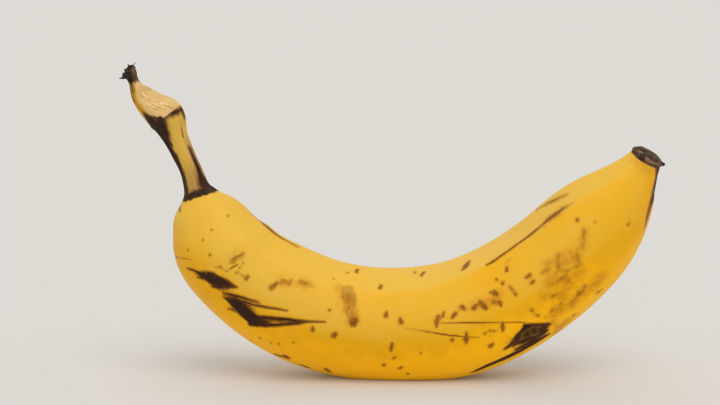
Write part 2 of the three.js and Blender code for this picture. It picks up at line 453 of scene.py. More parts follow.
        ((658, 167.5, 3.4), (656.8, 176, 5.0), (655.6, 185, 7.6), (653.4, 194, 7.0), (650.4, 205, 5.0),
         (647.4, 215, 3.4), (644.6, 226, 1.4)),
    ),
    Mark.CHAR: (
        ((146, 116, 2.4), (152, 121, 5.6), (158, 128.6, 8.0), (163, 136, 5.5)),
        ((143.8, 113.8, 1.0), (147, 119, 2.6), (151, 126, 3.4), (156, 133, 3.2)),
        ((154.6, 117, 1.6), (158.6, 121, 2.8), (161, 126, 2.8)),
        ((131.4, 83.6, 0.5), (132.4, 89, 0.4), (133.4, 92, 0.2)),
        ((129.4, 87, 0.3), (131, 94.6, 0.3), (134, 101, 0.2)),
        ((160, 118, 2.6), (166, 115.6, 2.4), (174, 112.6, 2.4), (181, 109.6, 2.4)),
        ((181.4, 108.4, 1.6), (183, 113, 1.6), (184.6, 118, 0.9)),
        ((162, 120, 3.0), (163, 126, 3.6), (166, 133, 2.8), (169, 142, 1.8)),
        ((164, 138, 3.6), (169.5, 148, 3.0), (174.5, 159, 2.4), (178.5, 170, 2.0), (181.6, 182, 2.0),
         (183.2, 194, 3.0)),
        ((190, 148, 0.8), (194, 157, 1.6), (197.6, 166, 2.4), (200.6, 175, 3.4), (203.6, 183, 5.4),
         (208, 189, 5.4)),
        ((182, 199, 3.4), (190, 197, 3.6), (199, 193.5, 4.0), (207, 190, 4.4), (213, 188.5, 3.0)),
        ((212, 189, 2.2), (217, 190.6, 1.4)),
    ),
    Mark.CREASE: (
        ((181.8, 128.5, 0.6), (183.6, 137, 0.9)),
        ((188.5, 147, 0.7), (193, 157, 1.1), (197, 166, 1.3), (200.6, 177, 1.0)),
    ),
    Mark.WORN: (
        ((508, 347, 2.0), (516, 341, 3.6), (524, 336, 6.0), (534, 332, 7.0), (545, 329, 5.0)),
    ),
    Mark.RIPE: (
        ((133, 97.6, 1.6), (136, 103.6, 3.0), (140.6, 109.6, 3.0), (144.6, 112.6, 1.4)),
    ),
    Mark.PULP: (
        ((142.6, 101, 1.2), (146.5, 106.6, 2.8), (151, 110.4, 3.6), (156.6, 113.4, 3.0)),
    ),
    # Painted highlights on the scar's rim
    Mark.GLINT: (
        ((635.4, 150.2, 0.9), (639.8, 151.6, 1.4), (642.4, 153, 0.5)),
        ((646, 159, 0.5), (652, 162.2, 1.1), (658.4, 165, 0.7)),
    ),
}

# Dots seen on the front: pixels across and down the photograph, and the radius in pixels
DOTS = {
    Mark.SPOT: (
        (329.4, 310.2, 1.4), (260, 338, 1.3), (285.6, 356.6, 4.4), (333.6, 278.2, 0.8),
        (211.7, 229.9, 0.9), (251.7, 340.7, 0.9), (347.8, 272.2, 1.2), (384, 365, 1.9), (408, 374, 1.6),
        (421, 353, 0.9), (480.6, 302.4, 2.6), (490.6, 292.2, 1.4), (493.3, 302.2, 1.9),
        (502.8, 283.3, 2.1), (496.7, 279.4, 1.6), (515.4, 294.4, 1.4), (452.2, 340, 2.0),
        (484.4, 333.9, 1.2), (490, 330.6, 0.9), (494, 331.2, 0.9), (347.4, 302.6, 0.8), (349, 307.6, 1.1),
        (346.4, 312, 0.9), (568, 270.6, 0.8), (577, 266.4, 0.7), (546, 270.8, 0.7), (553.2, 296, 1.1),
        (561, 303.4, 0.9), (532, 310.8, 1.3), (537.4, 315.6, 1.2), (552, 310, 0.9), (573.6, 314.8, 1.0),
        (577, 220, 1.5), (585, 286.4, 0.9), (598.6, 291.4, 1.1), (628, 224.4, 1.1), (220.6, 267.2, 1.0),
        (210, 255, 1.4), (188, 250, 0.9), (228, 216, 1.1), (203, 240, 0.8), (271, 343, 0.8),
        (279, 344, 1.0), (293.6, 342.6, 0.9), (283, 279.4, 0.8), (286.6, 281.8, 0.9), (281.2, 283.6, 0.7),
        (289, 284.8, 0.8), (291.4, 280.2, 0.7), (226.2, 271.2, 0.8), (233.6, 262.4, 0.8),
        (239.4, 268, 0.7), (236.2, 272.8, 0.8), (243.2, 263.2, 0.7),
    ),
    Mark.SMEAR: (
        (545.6, 317, 1.4), (577, 220, 3.0), (595, 222.6, 1.8),
    ),
}


@dataclass(frozen=True)
class Scatter:
    """Marks of one kind strewn over the sides that the photograph doesn't show.

    Each one is a chain along the fruit. Places count stations, angles are degrees round the
    section, and lengths and half widths are in mm.
    """

    kind: Mark
    count: int
    places: Pair
    angles: Pair
    half_width: Pair
    length: Pair
    slant: float = 0.5


# Share of the half width at each of a strewn mark's points
TAPER = np.array([0.35, 1.0, 0.9, 0.3])
UNSEEN = (
    Scatter(Mark.SPOT, 60, (15.0, 27.6), (112.0, 262.0), (0.2, 0.6), (0.0, 0.8)),
    Scatter(Mark.SPOT, 24, (16.0, 27.0), (112.0, 258.0), (0.6, 1.2), (0.2, 1.6), 1.5),
    Scatter(Mark.BRUISE, 2, (17.0, 26.0), (150.0, 240.0), (0.25, 0.45), (9.0, 20.0), 0.3),
    Scatter(Mark.SMEAR, 26, (16.0, 27.5), (110.0, 262.0), (0.4, 1.1), (1.5, 9.0), 0.8),
    Scatter(Mark.STAIN, 8, (16.0, 27.0), (115.0, 255.0), (1.4, 2.6), (3.0, 10.0)),
    Scatter(Mark.SCUFF, 12, (16.0, 27.5), (110.0, 262.0), (0.16, 0.36), (5.0, 18.0), 0.25),
)


# The fruit


# Radii of the body and the stem in mm. Stations: x, y and z in mm, radius in mm, how angular the
# section is, its twist in degrees and its lean in degrees.
BODY = 18.7
STEM = 3.6
STATIONS = np.array(
    [
        (-85.4, 0.2, 105.6, STEM * 0.2, 1.4, -8, 0),
        (-85.5, 0.2, 103.6, STEM * 0.3, 1.4, -8, 0),
        (-86.0, 0.1, 101.4, STEM * 0.52, 1.4, -8, 0),
        (-85.4, 0.0, 99.3, STEM * 0.44, 1.4, -8, 0),
        (-84.5, 0.0, 97.2, STEM * 0.56, 1.2, -8, 0),
        (-83.2, 0.0, 95.0, STEM * 0.92, 1.0, -8, 0),
        (-80.9, 0.0, 92.6, STEM * 1.24, 1.0, -8, 0),
        (-77.9, 0.0, 89.8, STEM * 1.46, 1.1, -8, 0),
        (-74.3, 0.0, 87.0, STEM * 1.78, 1.2, -8, 0),
        (-72.5, 0.0, 82.5, STEM * 1.29, 1.5, -8, 0),
        (-70.6, 0.0, 78.2, STEM * 1.1, 1.7, -8, 0),
        (-68.2, 0.0, 72.9, STEM * 1.0, 1.8, -8, 0),
        (-66.3, 0.0, 68.6, STEM * 1.03, 1.8, -8, 0),
        (-65.0, 0.0, 64.2, STEM * 1.18, 1.6, -8, 2),
        (-63.7, 0.0, 61.0, BODY * 0.311, 1.2, -8, 7.8),
        (-62.0, 0.1, 57.1, BODY * 0.578, 0.9, -8, 6.9),
        (-59.5, 0.2, 51.1, BODY * 0.731, 0.8, -8, 6.0),
        (-56.4, 0.4, 44.3, BODY * 0.895, 0.9, -8, 3.7),
        (-50.3, 0.7, 36.8, BODY * 0.914, 1.0, -7, 3.3),
        (-39.6, 0.9, 28.9, BODY * 0.993, 1.0, -6, 0),
        (-26.6, 1.0, 22.4, BODY * 1.021, 1.0, -4, 0),
        (-12.1, 0.9, 18.8, BODY * 1.026, 1.0, -2, 0),
        (3.2, 0.7, 17.9, BODY * 1.036, 1.0, 0, 0),
        (18.5, 0.4, 19.4, BODY * 1.045, 1.0, 3, 0),
        (32.3, 0.0, 24.3, BODY * 1.034, 1.0, 7, 0),
        (44.8, -0.4, 31.8, BODY * 0.998, 1.05, 8, 0),
        (56.0, -0.8, 41.0, BODY * 0.96, 1.1, 5, 0),
        (65.6, -1.4, 51.3, BODY * 0.895, 1.2, 0, 0),
        (73.2, -2.1, 60.2, BODY * 0.69, 1.3, -5, 0),
        (78.4, -2.8, 67.7, BODY * 0.445, 1.4, -8, 0),
        (82.0, -3.6, 73.5, BODY * 0.285, 1.3, -8, 0),
        (84.7, -6.0, 78.3, BODY * 0.24, 1.2, -8, 0),
    ]
)
# Rows of the grid: place among the stations, and the gap between rows there in mm
LAST = len(STATIONS) - 3.0
ROW_GAPS = np.array(
    [(0.0, 0.3), (3.0, 0.3), (4.0, 0.24), (7.2, 0.24), (8.2, 0.42), (11.8, 0.42), (12.4, 0.2),
     (13.4, 0.2), (14.2, 0.6), (LAST - 1.5, 0.6), (LAST, 0.34)]
)
# Steps of the fine scales that the rows and the columns are spaced along
FINE_STEPS = 6000
FINE_TURNS = 3601
# Ridges: angle in degrees, and how deep the face after it sags
RIDGES = np.array([(-82, 0.13), (45, 0.04), (88, 0.06), (150, 0.06), (215, 0.055)])
# Scar: out from the axis as a share of the last ring, and along it in mm
SCAR = np.array(
    [(0.98, -0.4), (1.0, 0.0), (0.97, 0.3), (1.03, 0.6), (1.05, 1.1), (0.99, 1.7), (0.84, 2.3), (0.6, 2.5),
     (0.32, 2.6), (0.04, 2.6), (-0.24, 2.6)]
)


@dataclass(frozen=True)
class Zones:
    """Where the skin is wick, torn crown, stem, peel or scar, and how dark or deep it is.

    A pair says where an ease starts and where it ends, and a pair of rows is a curve. Names in at
    count stations along the fruit, names in turn are degrees round it from the front, and names in
    over are depths in mm. Names in outward are 1 on the outer curve and -1 on the inner one. Names
    in rough say how far noise moves an edge, in the edge's own units.
    """

    wick_at: Pair = (2.2, 2.8)
    wick_rough: float = 0.25
    flesh_at: Pair = (2.3, 2.6)
    flesh_over: Pair = (-0.8, -0.1)
    flesh_rough: float = 0.3
    pulp_gain: float = 2.0
    torn_over: Pair = (0.0, 0.4)
    collar_at: float = 13.0
    collar_wave: float = 0.18
    collar_tooth: float = 0.06
    collar_edge: Pair = (-0.02, 0.03)
    sleeve_edge: Pair = (-1.1, -0.1)
    scar_edge: Pair = (-0.06, 0.0)
    scar_rough: float = 0.03
    left_edge: Curve = ((6.2, 8.0, 9.0, 10.5, 13.0), (-24.0, -10.0, -32.0, -40.0, -44.0))
    left_ease: Pair = (-16.0, 14.0)
    left_rough: float = 9.0
    left_at: Pair = (5.6, 7.2)
    back_turn: Pair = (-172.0, -165.0)
    right_turn: Pair = (24.0, 64.0)
    right_rough: float = 12.0
    right_at: Pair = (10.6, 12.4)
    right_at_rough: float = 0.4
    foot_at: Pair = (11.9, 12.9)
    foot_rough: float = 0.5
    pink_from: Pair = (36.0, 48.0)
    pink_to: Pair = (100.0, 140.0)
    pink_at: Pair = (8.4, 9.4)
    tip_turn: Pair = (-20.0, 60.0)
    tip_at: Pair = (2.8, 3.4)
    age_at: Pair = (8.6, 12.4)
    age_rough: float = 0.2
    # From here on the fields shape how deep the yellow is, and that carries painted light: the paler upper
    # face against the deeper faces past its ridges is painted light and shade, and the deeper, brighter
    # yellow low on the outer curve is partly the fruit's own colour and partly painted bounce light.
    upper_face: Pair = (45.0, 150.0)
    ridge_ease: Curve = ((15.0, 19.0, 21.0, 25.0, 28.0), (14.0, 8.0, 3.4, 4.0, 7.0))
    side_painted_shade: Curve = ((14.5, 18.0, 20.5, 24.0, 27.0, 29.0), (0.04, 0.12, 0.3, 0.38, 0.3, 0.16))
    low_outward: Pair = (-0.5, 0.95)
    low_rough: float = 0.12
    low_at: Pair = (13.6, 16.5)
    neck_at: Pair = (24.0, 27.5)
    neck_loss: float = 0.55
    shoulder_at: Pair = (16.0, 19.5)
    shoulder_loss: float = 0.4
    belly_outward: Pair = (0.7, 0.98)
    belly_at: Pair = (15.0, 19.0)
    painted_bounce_gain: float = 0.35


@dataclass(frozen=True)
class Ripple:
    """A layer of noise on the skin's height in one zone, in mm.

    Its cells are for each mm: of the place, or where it runs with the fruit, along and round it.
    """

    zone: str
    height: float
    cells: tuple[float, float, float]
    seed: int
    along: bool = False


RIPPLES = (
    Ripple("peel", 0.22, (0.03, 0.03, 0.03), 11),
    Ripple("peel", 0.06, (0.11, 0.11, 0.11), 12),
    Ripple("peel", 0.04, (0.05, 0.8, 0.8), 13, True),
    Ripple("bruised", -0.1, (0.5, 0.5, 0.5), 14),
    Ripple("bark", 0.1, (0.1, 0.8, 0.8), 15, True),
    Ripple("burnt", 0.09, (0.2, 2.4, 2.4), 16, True),
    Ripple("sleeve", 0.18, (0.5, 1.6, 1.6), 17, True),
    Ripple("torn", 0.04, (0.9, 4.0, 4.0), 20, True),
    Ripple("wick", 0.4, (0.45, 0.35, 0.35), 21, True),
    Ripple("wick", 0.14, (0.8, 2.0, 2.0), 22, True),
    Ripple("scar", 0.16, (0.4, 0.4, 0.4), 23),
    Ripple("scar", 0.08, (1.1, 1.1, 1.1), 24),
)


@dataclass
class Skin:
    """The whole skin as one closed grid, from the wick over the body to the blossom scar.

    A section is a circle through the ridges, less a half sine across each face. The sections are
    carried along a spline through the stations. Sizes are in mm.
    """

    press: float = 1.6
    ridge_rounding: float = 0.09
    tear_facing: float = 44.0
    tear_places: tuple[float, float, float] = (2.9, 4.6, 6.9)
    tear_depths: tuple[float, float, float] = (1.0, 0.38, 0.66)
    scar_wave: float = 0.05
    rows: int = 508
    columns: int = 180
    scar_rows: int = 26
    front_density: float = 0.35
    neighbours: int = 5
    blur: float = 0.05
    scar_places: float = 0.2
    ring_radius: float = 10.0
    sleeve_height: float = 0.24
    bruise_depth: float = 0.22
    spot_depth: float = 0.06
    crease_depth: float = 0.16
    torn_depth: float = 0.04
    flake_height: float = 0.16
    flake_wander: float = 1.6
    flake_climb: float = 0.12
    zones: Zones = Zones()
    view: PhotoView = PhotoView()

    def __post_init__(self) -> None:
        """Works out the grid, its fields and its relief."""
        self.line = Spline(STATIONS)
        self.place, self.angle = self._places(), self._angles()
        self.base = self._base_grid()
        self._move_to_frame()
        self.normal = grid_normals(self.base)
        step = np.linalg.norm(np.diff(self.centres, axis=0), axis=1)
        self.arc = np.concatenate([[0.0], np.cumsum(step)])
        self._mark()
        self._zone_fields()
        self.grid = self.base + self.normal * self._relief()[..., None]
        self.grid[..., 2] = np.maximum(self.grid[..., 2], 0.0)

    def _places(self) -> np.ndarray:
        """Places of the rows along the line, closer together where there is more to show.

        Returns:
            One place among the stations for each row.
        """
        fine = np.linspace(0.0, self.line.last, FINE_STEPS)
        _, slope = self.line.at(fine)
        speed = np.linalg.norm(slope[:, :3], axis=1)
        weight = speed / np.interp(fine, *ROW_GAPS.T)
        total = np.concatenate([[0.0], np.cumsum((weight[1:] + weight[:-1]) / 2)])
        return np.interp(np.linspace(0.0, total[-1], self.rows), total, fine)

    def _angles(self) -> np.ndarray:
        """Angles of the columns, closer together on the front.

        Returns:
            One angle for each column, in degrees from the front.
        """
        fine = np.linspace(-180.0, 180.0, FINE_TURNS)
        total = fine + math.degrees(self.front_density) * np.sin(np.radians(fine))
        return np.interp(np.linspace(-180.0, 180.0, self.columns, endpoint=False), total, fine)

    def _face_share(self, angular: np.ndarray) -> np.ndarray:
        """Radius as a share of the ridge circle: 1 less the sag times a half sine, rounded at ridges.

        Args:
            angular: how angular each row is.

        Returns:
            Array of rows by columns.
        """
        turned = (self.angle - RIDGES[0, 0]) % 360.0 + RIDGES[0, 0]
        face = np.searchsorted(RIDGES[:, 0], turned, side="right") - 1
        start = RIDGES[face, 0]
        end = np.append(RIDGES[1:, 0], RIDGES[0, 0] + 360.0)[face]
        share = (turned - start) / (end - start)
        rounding = self.ridge_rounding
        dip = np.hypot(np.sin(np.pi * share), rounding) - rounding
        dip /= math.hypot(1.0, rounding) - rounding
        return 1.0 - angular[:, None] * RIDGES[face, 1] * dip

    def _stations(self) -> tuple[np.ndarray, np.ndarray, np.ndarray]:
        """Follows the line for each row, and stays at its end for the rows of the scar.

        Returns:
            Station values and slopes, and the scar's profile, one row for each row of the grid.
        """
        value, slope = self.line.at(self.place)
        end_value, end_slope = self.line.at(np.array([float(self.line.last)]))
        scar_place = np.linspace(0.0, len(SCAR) - 3.0, self.scar_rows + 1)[1:]
        scar, _ = Spline(SCAR).at(scar_place)
        value = np.concatenate([value, np.repeat(end_value, self.scar_rows, 0)])
        slope = np.concatenate([slope, np.repeat(end_slope, self.scar_rows, 0)])
        profile = np.concatenate([np.tile([1.0, 0.0], (self.rows, 1)), scar])
        self.place = np.concatenate([self.place, self.line.last + scar[:, 1] * self.scar_places])
        self.is_scar = np.arange(len(profile)) >= self.rows
        return value, slope, profile

    @staticmethod
    def _section_axes(slope: np.ndarray, lean: np.ndarray) -> tuple[np.ndarray, np.ndarray, np.ndarray]:
        """Directions of each section: along the line, to the front and to the inner curve.

        Along is the slope's direction, and the inner one is square to it and to the front, leaned.

        Args:
            slope: slopes of the line.
            lean: lean of each section in degrees.

        Returns:
            Three arrays of unit directions.
        """
        along = slope / np.linalg.norm(slope, axis=1, keepdims=True)
        square = np.cross(np.array([0.0, -1.0, 0.0]), along)
        square /= np.linalg.norm(square, axis=1, keepdims=True)
        front = np.cross(along, square)
        lean = np.radians(-lean)[:, None]
        return along, front, square * np.cos(lean) + np.cross(front, square) * np.sin(lean)

    def _base_grid(self) -> np.ndarray:
        """Base surface without relief.

        Returns:
            Points in mm, rows by columns by three.
        """
        value, slope, profile = self._stations()
        out, push = profile.T
        along, front, inner = self._section_axes(slope[:, :3], value[:, 6])
        self.radius = value[:, 3]
        reach = (self.radius * out)[:, None] * self._face_share(value[:, 4])
        spot = np.radians(self.angle)
        wave = 1.0 + self.scar_wave * np.sin(3 * spot + 1) * np.sin(2 * spot)
        reach = np.where(self.is_scar[:, None], reach * wave, reach)
        angle = spot[None, :] + np.radians(value[:, 5])[:, None]
        x, y = np.cos(angle) * reach, np.sin(angle) * reach
        x, y, self.past = self._tear(x, y)
        self.centres = value[:, :3] + along * push[:, None]
        return self.centres[:, None] + front[:, None] * x[..., None] + inner[:, None] * y[..., None]

    def _tear(self, x: np.ndarray, y: np.ndarray) -> tuple[np.ndarray, np.ndarray, np.ndarray]:
        """Cuts the crown back to the torn face.

        Args:
            x: offsets towards the front.
            y: offsets towards the inner curve.

        Returns:
            The new offsets, and how far each point reached past the face, in mm.
        """
        facing = math.radians(self.tear_facing)
        depth = np.interp(self.place, self.tear_places, self.tear_depths)
        torn = (self.place > self.tear_places[0] - 0.6) & (self.place < self.tear_places[-1])
        past = x * math.cos(facing) + y * math.sin(facing) - (depth * self.radius)[:, None]
        past = np.where(torn[:, None], past, -self.radius[:, None])
        cut = np.maximum(past, 0.0)
        return x - cut * math.cos(facing), y - cut * math.sin(facing), past

    def _move_to_frame(self) -> None:
        """Sets the fruit down on its flat spot and centres it on the CAD solid's box."""
        low, high = (np.array(corner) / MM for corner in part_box("banana"))
        move = (low + high) / 2 - (self.base.min((0, 1)) + self.base.max((0, 1))) / 2
        move[2] = -self.press - self.base[..., 2].min()
        self.move = move
        self.base = self.base + move
        self.centres = self.centres + move
        self.base[..., 2] = np.maximum(self.base[..., 2], 0.0)

    def _on_skin(self, strokes: np.ndarray) -> np.ndarray:
        """Finds where places in the photograph lie on the fruit's front.

        Args:
            strokes: rows of pixels across, pixels down and half width in pixels.

        Returns:
            Rows of x, y, z and half width, in mm.
        """
        pixel = self.view.project(self.base)
        eye, _ = self.view.frame()
        facing = np.einsum("rck,rck->rc", self.normal, eye - self.base) > 0.0
        pixel, points = pixel[facing], self.base[facing]
        gap = np.linalg.norm(pixel[None] - strokes[:, None, :2], axis=2)
        near = np.argsort(gap, axis=1)[:, :self.neighbours]
        weight = 1.0 / (np.take_along_axis(gap, near, 1) + self.blur) ** 2
        place = np.einsum("nk,nkc->nc", weight / weight.sum(1, keepdims=True), points[near])
        return np.concatenate([place, strokes[:, 2:] * PHOTO_MM], axis=1)

    def _draw(self, name: str, chain: np.ndarray) -> None:
        """Adds a stroke to a field: how deep inside it each point is, in mm, negative outside.

        Args:
            name: the field.
            chain: rows of x, y, z and half width, in mm.
        """
        depth, way, half = self.fields[name], self.ways[name], self.halves[name]
        for start, end in zip(chain[:-1], chain[1:]):
            span = end[:3] - start[:3]
            t = np.clip((self.base - start[:3]) @ span / max(span @ span, TINY), 0.0, 1.0)
            off = self.base - start[:3] - t[..., None] * span
            width = start[3] + t * (end[3] - start[3])
            inside = width - np.linalg.norm(off, axis=2)
            nearer = inside > depth
            depth[nearer], way[nearer], half[nearer] = inside[nearer], off[nearer], width[nearer]

    def _strewn(self, scatter: Scatter, seed: int) -> list[np.ndarray]:
        """Chains of strewn marks.

        Args:
            scatter: what to strew.
            seed: picks their places.

        Returns:
            One chain for each mark, as rows of x, y, z and half width.
        """
        pick = np.random.default_rng(seed)
        chains = []
        for _ in range(scatter.count):
            place, angle = pick.uniform(*scatter.places), pick.uniform(*scatter.angles)
            width, length = pick.uniform(*scatter.half_width), pick.uniform(*scatter.length)
            row = np.argmin(abs(self.place - place))
            run = np.linspace(-0.5, 0.5, len(TAPER)) * length
            rows = np.clip(np.searchsorted(self.arc, self.arc[row] + run), 0, self.rows - 1)
            turn = angle + np.degrees(run * scatter.slant * pick.uniform(-1, 1) / BODY)
            off = abs((self.angle[None, :] - turn[:, None] + 180.0) % 360.0 - 180.0)
            points = self.base[rows, off.argmin(1)]
            taper = width * (TAPER if length > width else np.ones(len(TAPER)))
            chains.append(np.concatenate([points, taper[:, None]], axis=1))
        return chains

    def _mark(self) -> None:
        """Draws the strokes of every kind of mark."""
        shape = self.base.shape[:2]
        self.fields = {kind.value: np.full(shape, -FAR) for kind in Mark}
        self.halves = {kind.value: np.zeros(shape) for kind in Mark}
        self.ways = {kind.value: np.full((*shape, 3), FAR) for kind in Mark}
        for kind, strokes in SEEN.items():
            for stroke in strokes:
                self._draw(kind.value, self._on_skin(np.array(stroke, dtype=float)))
        for kind, dots in DOTS.items():
            for dot in dots:
                self._draw(kind.value, self._on_skin(np.array([dot, dot], dtype=float)))
        for seed, scatter in enumerate(UNSEEN):
            for chain in self._strewn(scatter, seed):
                self._draw(scatter.kind.value, chain)

    def _zone_fields(self) -> None:
        """Adds the fields that say what each point of the skin is, mostly from 0 to 1.

        The ring is the way along in mm and a circle round, for noise that runs with the fruit.
        """
        shape = self.base.shape[:2]
        spot = np.broadcast_to(np.radians(self.angle)[None], shape)
        arc = np.broadcast_to(self.arc[:, None], shape)
        circle = self.ring_radius * np.stack([np.cos(spot), np.sin(spot)], -1)
        self.ring = np.concatenate([arc[..., None], circle], -1)
        self.at = np.broadcast_to(self.place[:, None], shape)
        self.turn = (np.degrees(spot) + 180.0) % 360.0 - 180.0
        self.outward = -np.sin(spot)
        self.rough = self._noise(self.ring, (0.5, 0.45, 0.45), 3)
        self.fields.update(self._end_zones())
        self.fields.update(self._stem_zones())
        self.fields["tone_and_painted_light"] = self._tone_and_painted_light()

    def _end_zones(self) -> dict[str, np.ndarray]:
        """Fields of the wick, the torn crown, the stem and the scar.

        Returns:
            The fields by name.
        """
        z = self.zones
        jag = z.collar_wave * self._noise(self.ring, (0.15, 0.45, 0.45), 4)
        jag += z.collar_tooth * self._noise(self.ring, (0.4, 1.9, 1.9), 5)
        past_collar = self.at - z.collar_at - jag
        stem = 1.0 - smooth(past_collar, *z.collar_edge)
        wick = 1.0 - smooth(self.at + z.wick_rough * self.rough, *z.wick_at)
        scar = smooth(self.at - self.line.last + z.scar_rough * self.rough, *z.scar_edge)
        over = np.maximum(self.past + z.flesh_rough * self.rough, self.fields["pulp"] * z.pulp_gain)
        flesh = smooth(over, *z.flesh_over) * smooth(self.at, *z.flesh_at)
        return {
            "wick": wick,
            "scar": np.where(self.is_scar[:, None], 1.0, scar),
            "stem": stem,
            "flesh": flesh * (1.0 - wick),
            "torn": smooth(self.past, *z.torn_over) * (1.0 - wick),
            "sleeve": stem * smooth(past_collar, *z.sleeve_edge),
        }

    def _stem_zones(self) -> dict[str, np.ndarray]:
        """Fields of the stem's dark bands, its pinkish inner side and its age.

        Returns:
            The fields by name.
        """
        z, at, turn, rough = self.zones, self.at, self.turn, self.rough
        edge = np.interp(at, *z.left_edge)
        dark = 1.0 - smooth(turn + z.left_rough * rough - edge, *z.left_ease)
        at_back = np.minimum(dark, smooth(turn, *z.back_turn))
        dark = np.where(turn < z.back_turn[1], at_back, dark) * smooth(at, *z.left_at)
        right = smooth(turn + z.right_rough * rough, *z.right_turn)
        dark = np.maximum(dark, right * smooth(at + z.right_at_rough * rough, *z.right_at))
        dark = np.maximum(dark, smooth(at + z.foot_rough * rough, *z.foot_at))
        pink = smooth(turn, *z.pink_from) * (1.0 - smooth(turn, *z.pink_to)) * smooth(at, *z.pink_at)
        tip = smooth(turn, *z.tip_turn) * (1.0 - smooth(at, *z.tip_at))
        return {
            "dark": dark * self.fields["stem"],
            "inner": np.maximum(pink, tip) * self.fields["stem"],
            "age": smooth(at + z.age_rough * rough, *z.age_at),
        }

    def _tone_and_painted_light(self) -> np.ndarray:
        """How deep the yellow is, partly painted light: palest on the upper face and deeper past its
        ridges, which is painted light and shade, and deepest and brightest low on the outer curve,
        which is partly the fruit's own colour and partly painted bounce light.

        Returns:
            Depths of yellow, mostly from 0 to 1, rows by columns.
        """
        z, at = self.zones, self.at
        past_ridge = np.maximum(z.upper_face[0] - self.turn, self.turn - z.upper_face[1])
        side = smooth(past_ridge / np.interp(at, *z.ridge_ease), -1.0, 1.0) * np.interp(at, *z.side_painted_shade)
        low = smooth(self.outward + z.low_rough * self.rough, *z.low_outward) * smooth(at, *z.low_at)
        low *= 1.0 - z.neck_loss * smooth(at, *z.neck_at)
        low *= 1.0 - z.shoulder_loss * (1.0 - smooth(at, *z.shoulder_at))
        belly_painted_bounce = smooth(self.outward, *z.belly_outward) * smooth(at, *z.belly_at)
        return np.maximum(low, side) + z.painted_bounce_gain * belly_painted_bounce

    def _noise(self, coordinates: np.ndarray, scale: tuple[float, float, float], seed: int) -> np.ndarray:
        """Noise over the grid.

        Args:
            coordinates: rows by columns by three, in mm.
            scale: lattice cells for each mm, one for each coordinate.
            seed: picks another pattern.

        Returns:
            Numbers from -1 to 1, rows by columns.
        """
        points = coordinates.reshape(-1, 3) * np.array(scale)
        return lattice_noise(points, seed).reshape(coordinates.shape[:2])

    def _flakes(self) -> np.ndarray:
        """Layers of torn fibre: a saw-tooth of noise that climbs along the fruit.

        Returns:
            Heights from 0 to 1, rows by columns.
        """
        fibre = self._noise(self.ring, (0.42, 1.0, 1.0), 18)
        fibre += 0.5 * self._noise(self.ring, (1.0, 2.6, 2.6), 19)
        climb = fibre * self.flake_wander + self.ring[..., 0] * self.flake_climb
        return (climb % 1.0) ** 1.6

    def _relief(self) -> np.ndarray:
        """Height of the skin's own relief over the base surface.

        Returns:
            Heights in mm, rows by columns.
        """
        f = self.fields
        peel = (1.0 - f["stem"]) * (1.0 - f["scar"])
        bruised = peel * smooth(f["bruise"], -1.0, 1.2)
        bark = f["stem"] * (1.0 - f["torn"]) * (1.0 - f["wick"])
        zones = {**f, "peel": peel, "bruised": bruised, "bark": bark, "burnt": bark * f["dark"]}
        height = f["sleeve"] * self.sleeve_height - bruised * self.bruise_depth
        height += f["torn"] * (self.flake_height * self._flakes() - self.torn_depth)
        height -= peel * self.spot_depth * smooth(f["spot"], -0.3, 0.5)
        height -= self.crease_depth * smooth(f["crease"], -0.35, 0.25)
        for ripple in RIPPLES:
            noise = self._noise(self.ring if ripple.along else self.base, ripple.cells, ripple.seed)
            height += zones[ripple.zone] * ripple.height * noise
        return height

    def over(self, place: float, angle: float, height: float) -> np.ndarray:
        """A place above the skin.

        Args:
            place: which station it is over.
            angle: angle round the section, in degrees from the front.
            height: height over the skin in mm.

        Returns:
            x, y and z in mm.
        """
        row = int(np.argmin(abs(self.place - place)))
        column = int(np.argmin(abs((self.angle - angle + 180.0) % 360.0 - 180.0)))
        return self.grid[row, column] + self.normal[row, column] * height

    def _carry(self, piece: bpy.types.Object, name: str, values: np.ndarray) -> None:
        """Gives a mesh a field.

        Args:
            piece: the skin object.
            name: the field's name.
            values: rows by columns of numbers, or of three numbers each.
        """
        rows = values[:-1].reshape((self.grid.shape[0] - 1) * self.columns, -1)
        whole = np.concatenate([rows[:1], rows, rows[-1:]]).astype(np.float32).ravel()
        kind, key = ("FLOAT_VECTOR", "vector") if values.ndim == 3 else ("FLOAT", "value")
        piece.data.attributes.new(name, kind, "POINT").data.foreach_set(key, whole)

    def build(self, material: bpy.types.Material) -> bpy.types.Object:
        """Makes the skin's mesh with its fields.

        Args:
            material: the peel's finish.

        Returns:
            The skin object.
        """
        rows = self.grid.shape[0] - 1
        grid = self.grid[:rows]
        first = self.centres[0] + (self.centres[0] - self.centres[1]) * 1.5
        last = self.grid[rows].mean(0)
        points = np.concatenate([first[None], grid.reshape(-1, 3), last[None]]) * MM
        piece = make_object("banana_skin", points, closed_faces(rows, self.columns), material)
        for name, values in self.fields.items():
            self._carry(piece, name, values)
        for name in (kind.value for kind in FINE):
            self._carry(piece, f"{name}_half", self.halves[name])
            self._carry(piece, f"{name}_way", self.ways[name])
        self._carry(piece, "grain", self.ring)
        return piece


# Fibres


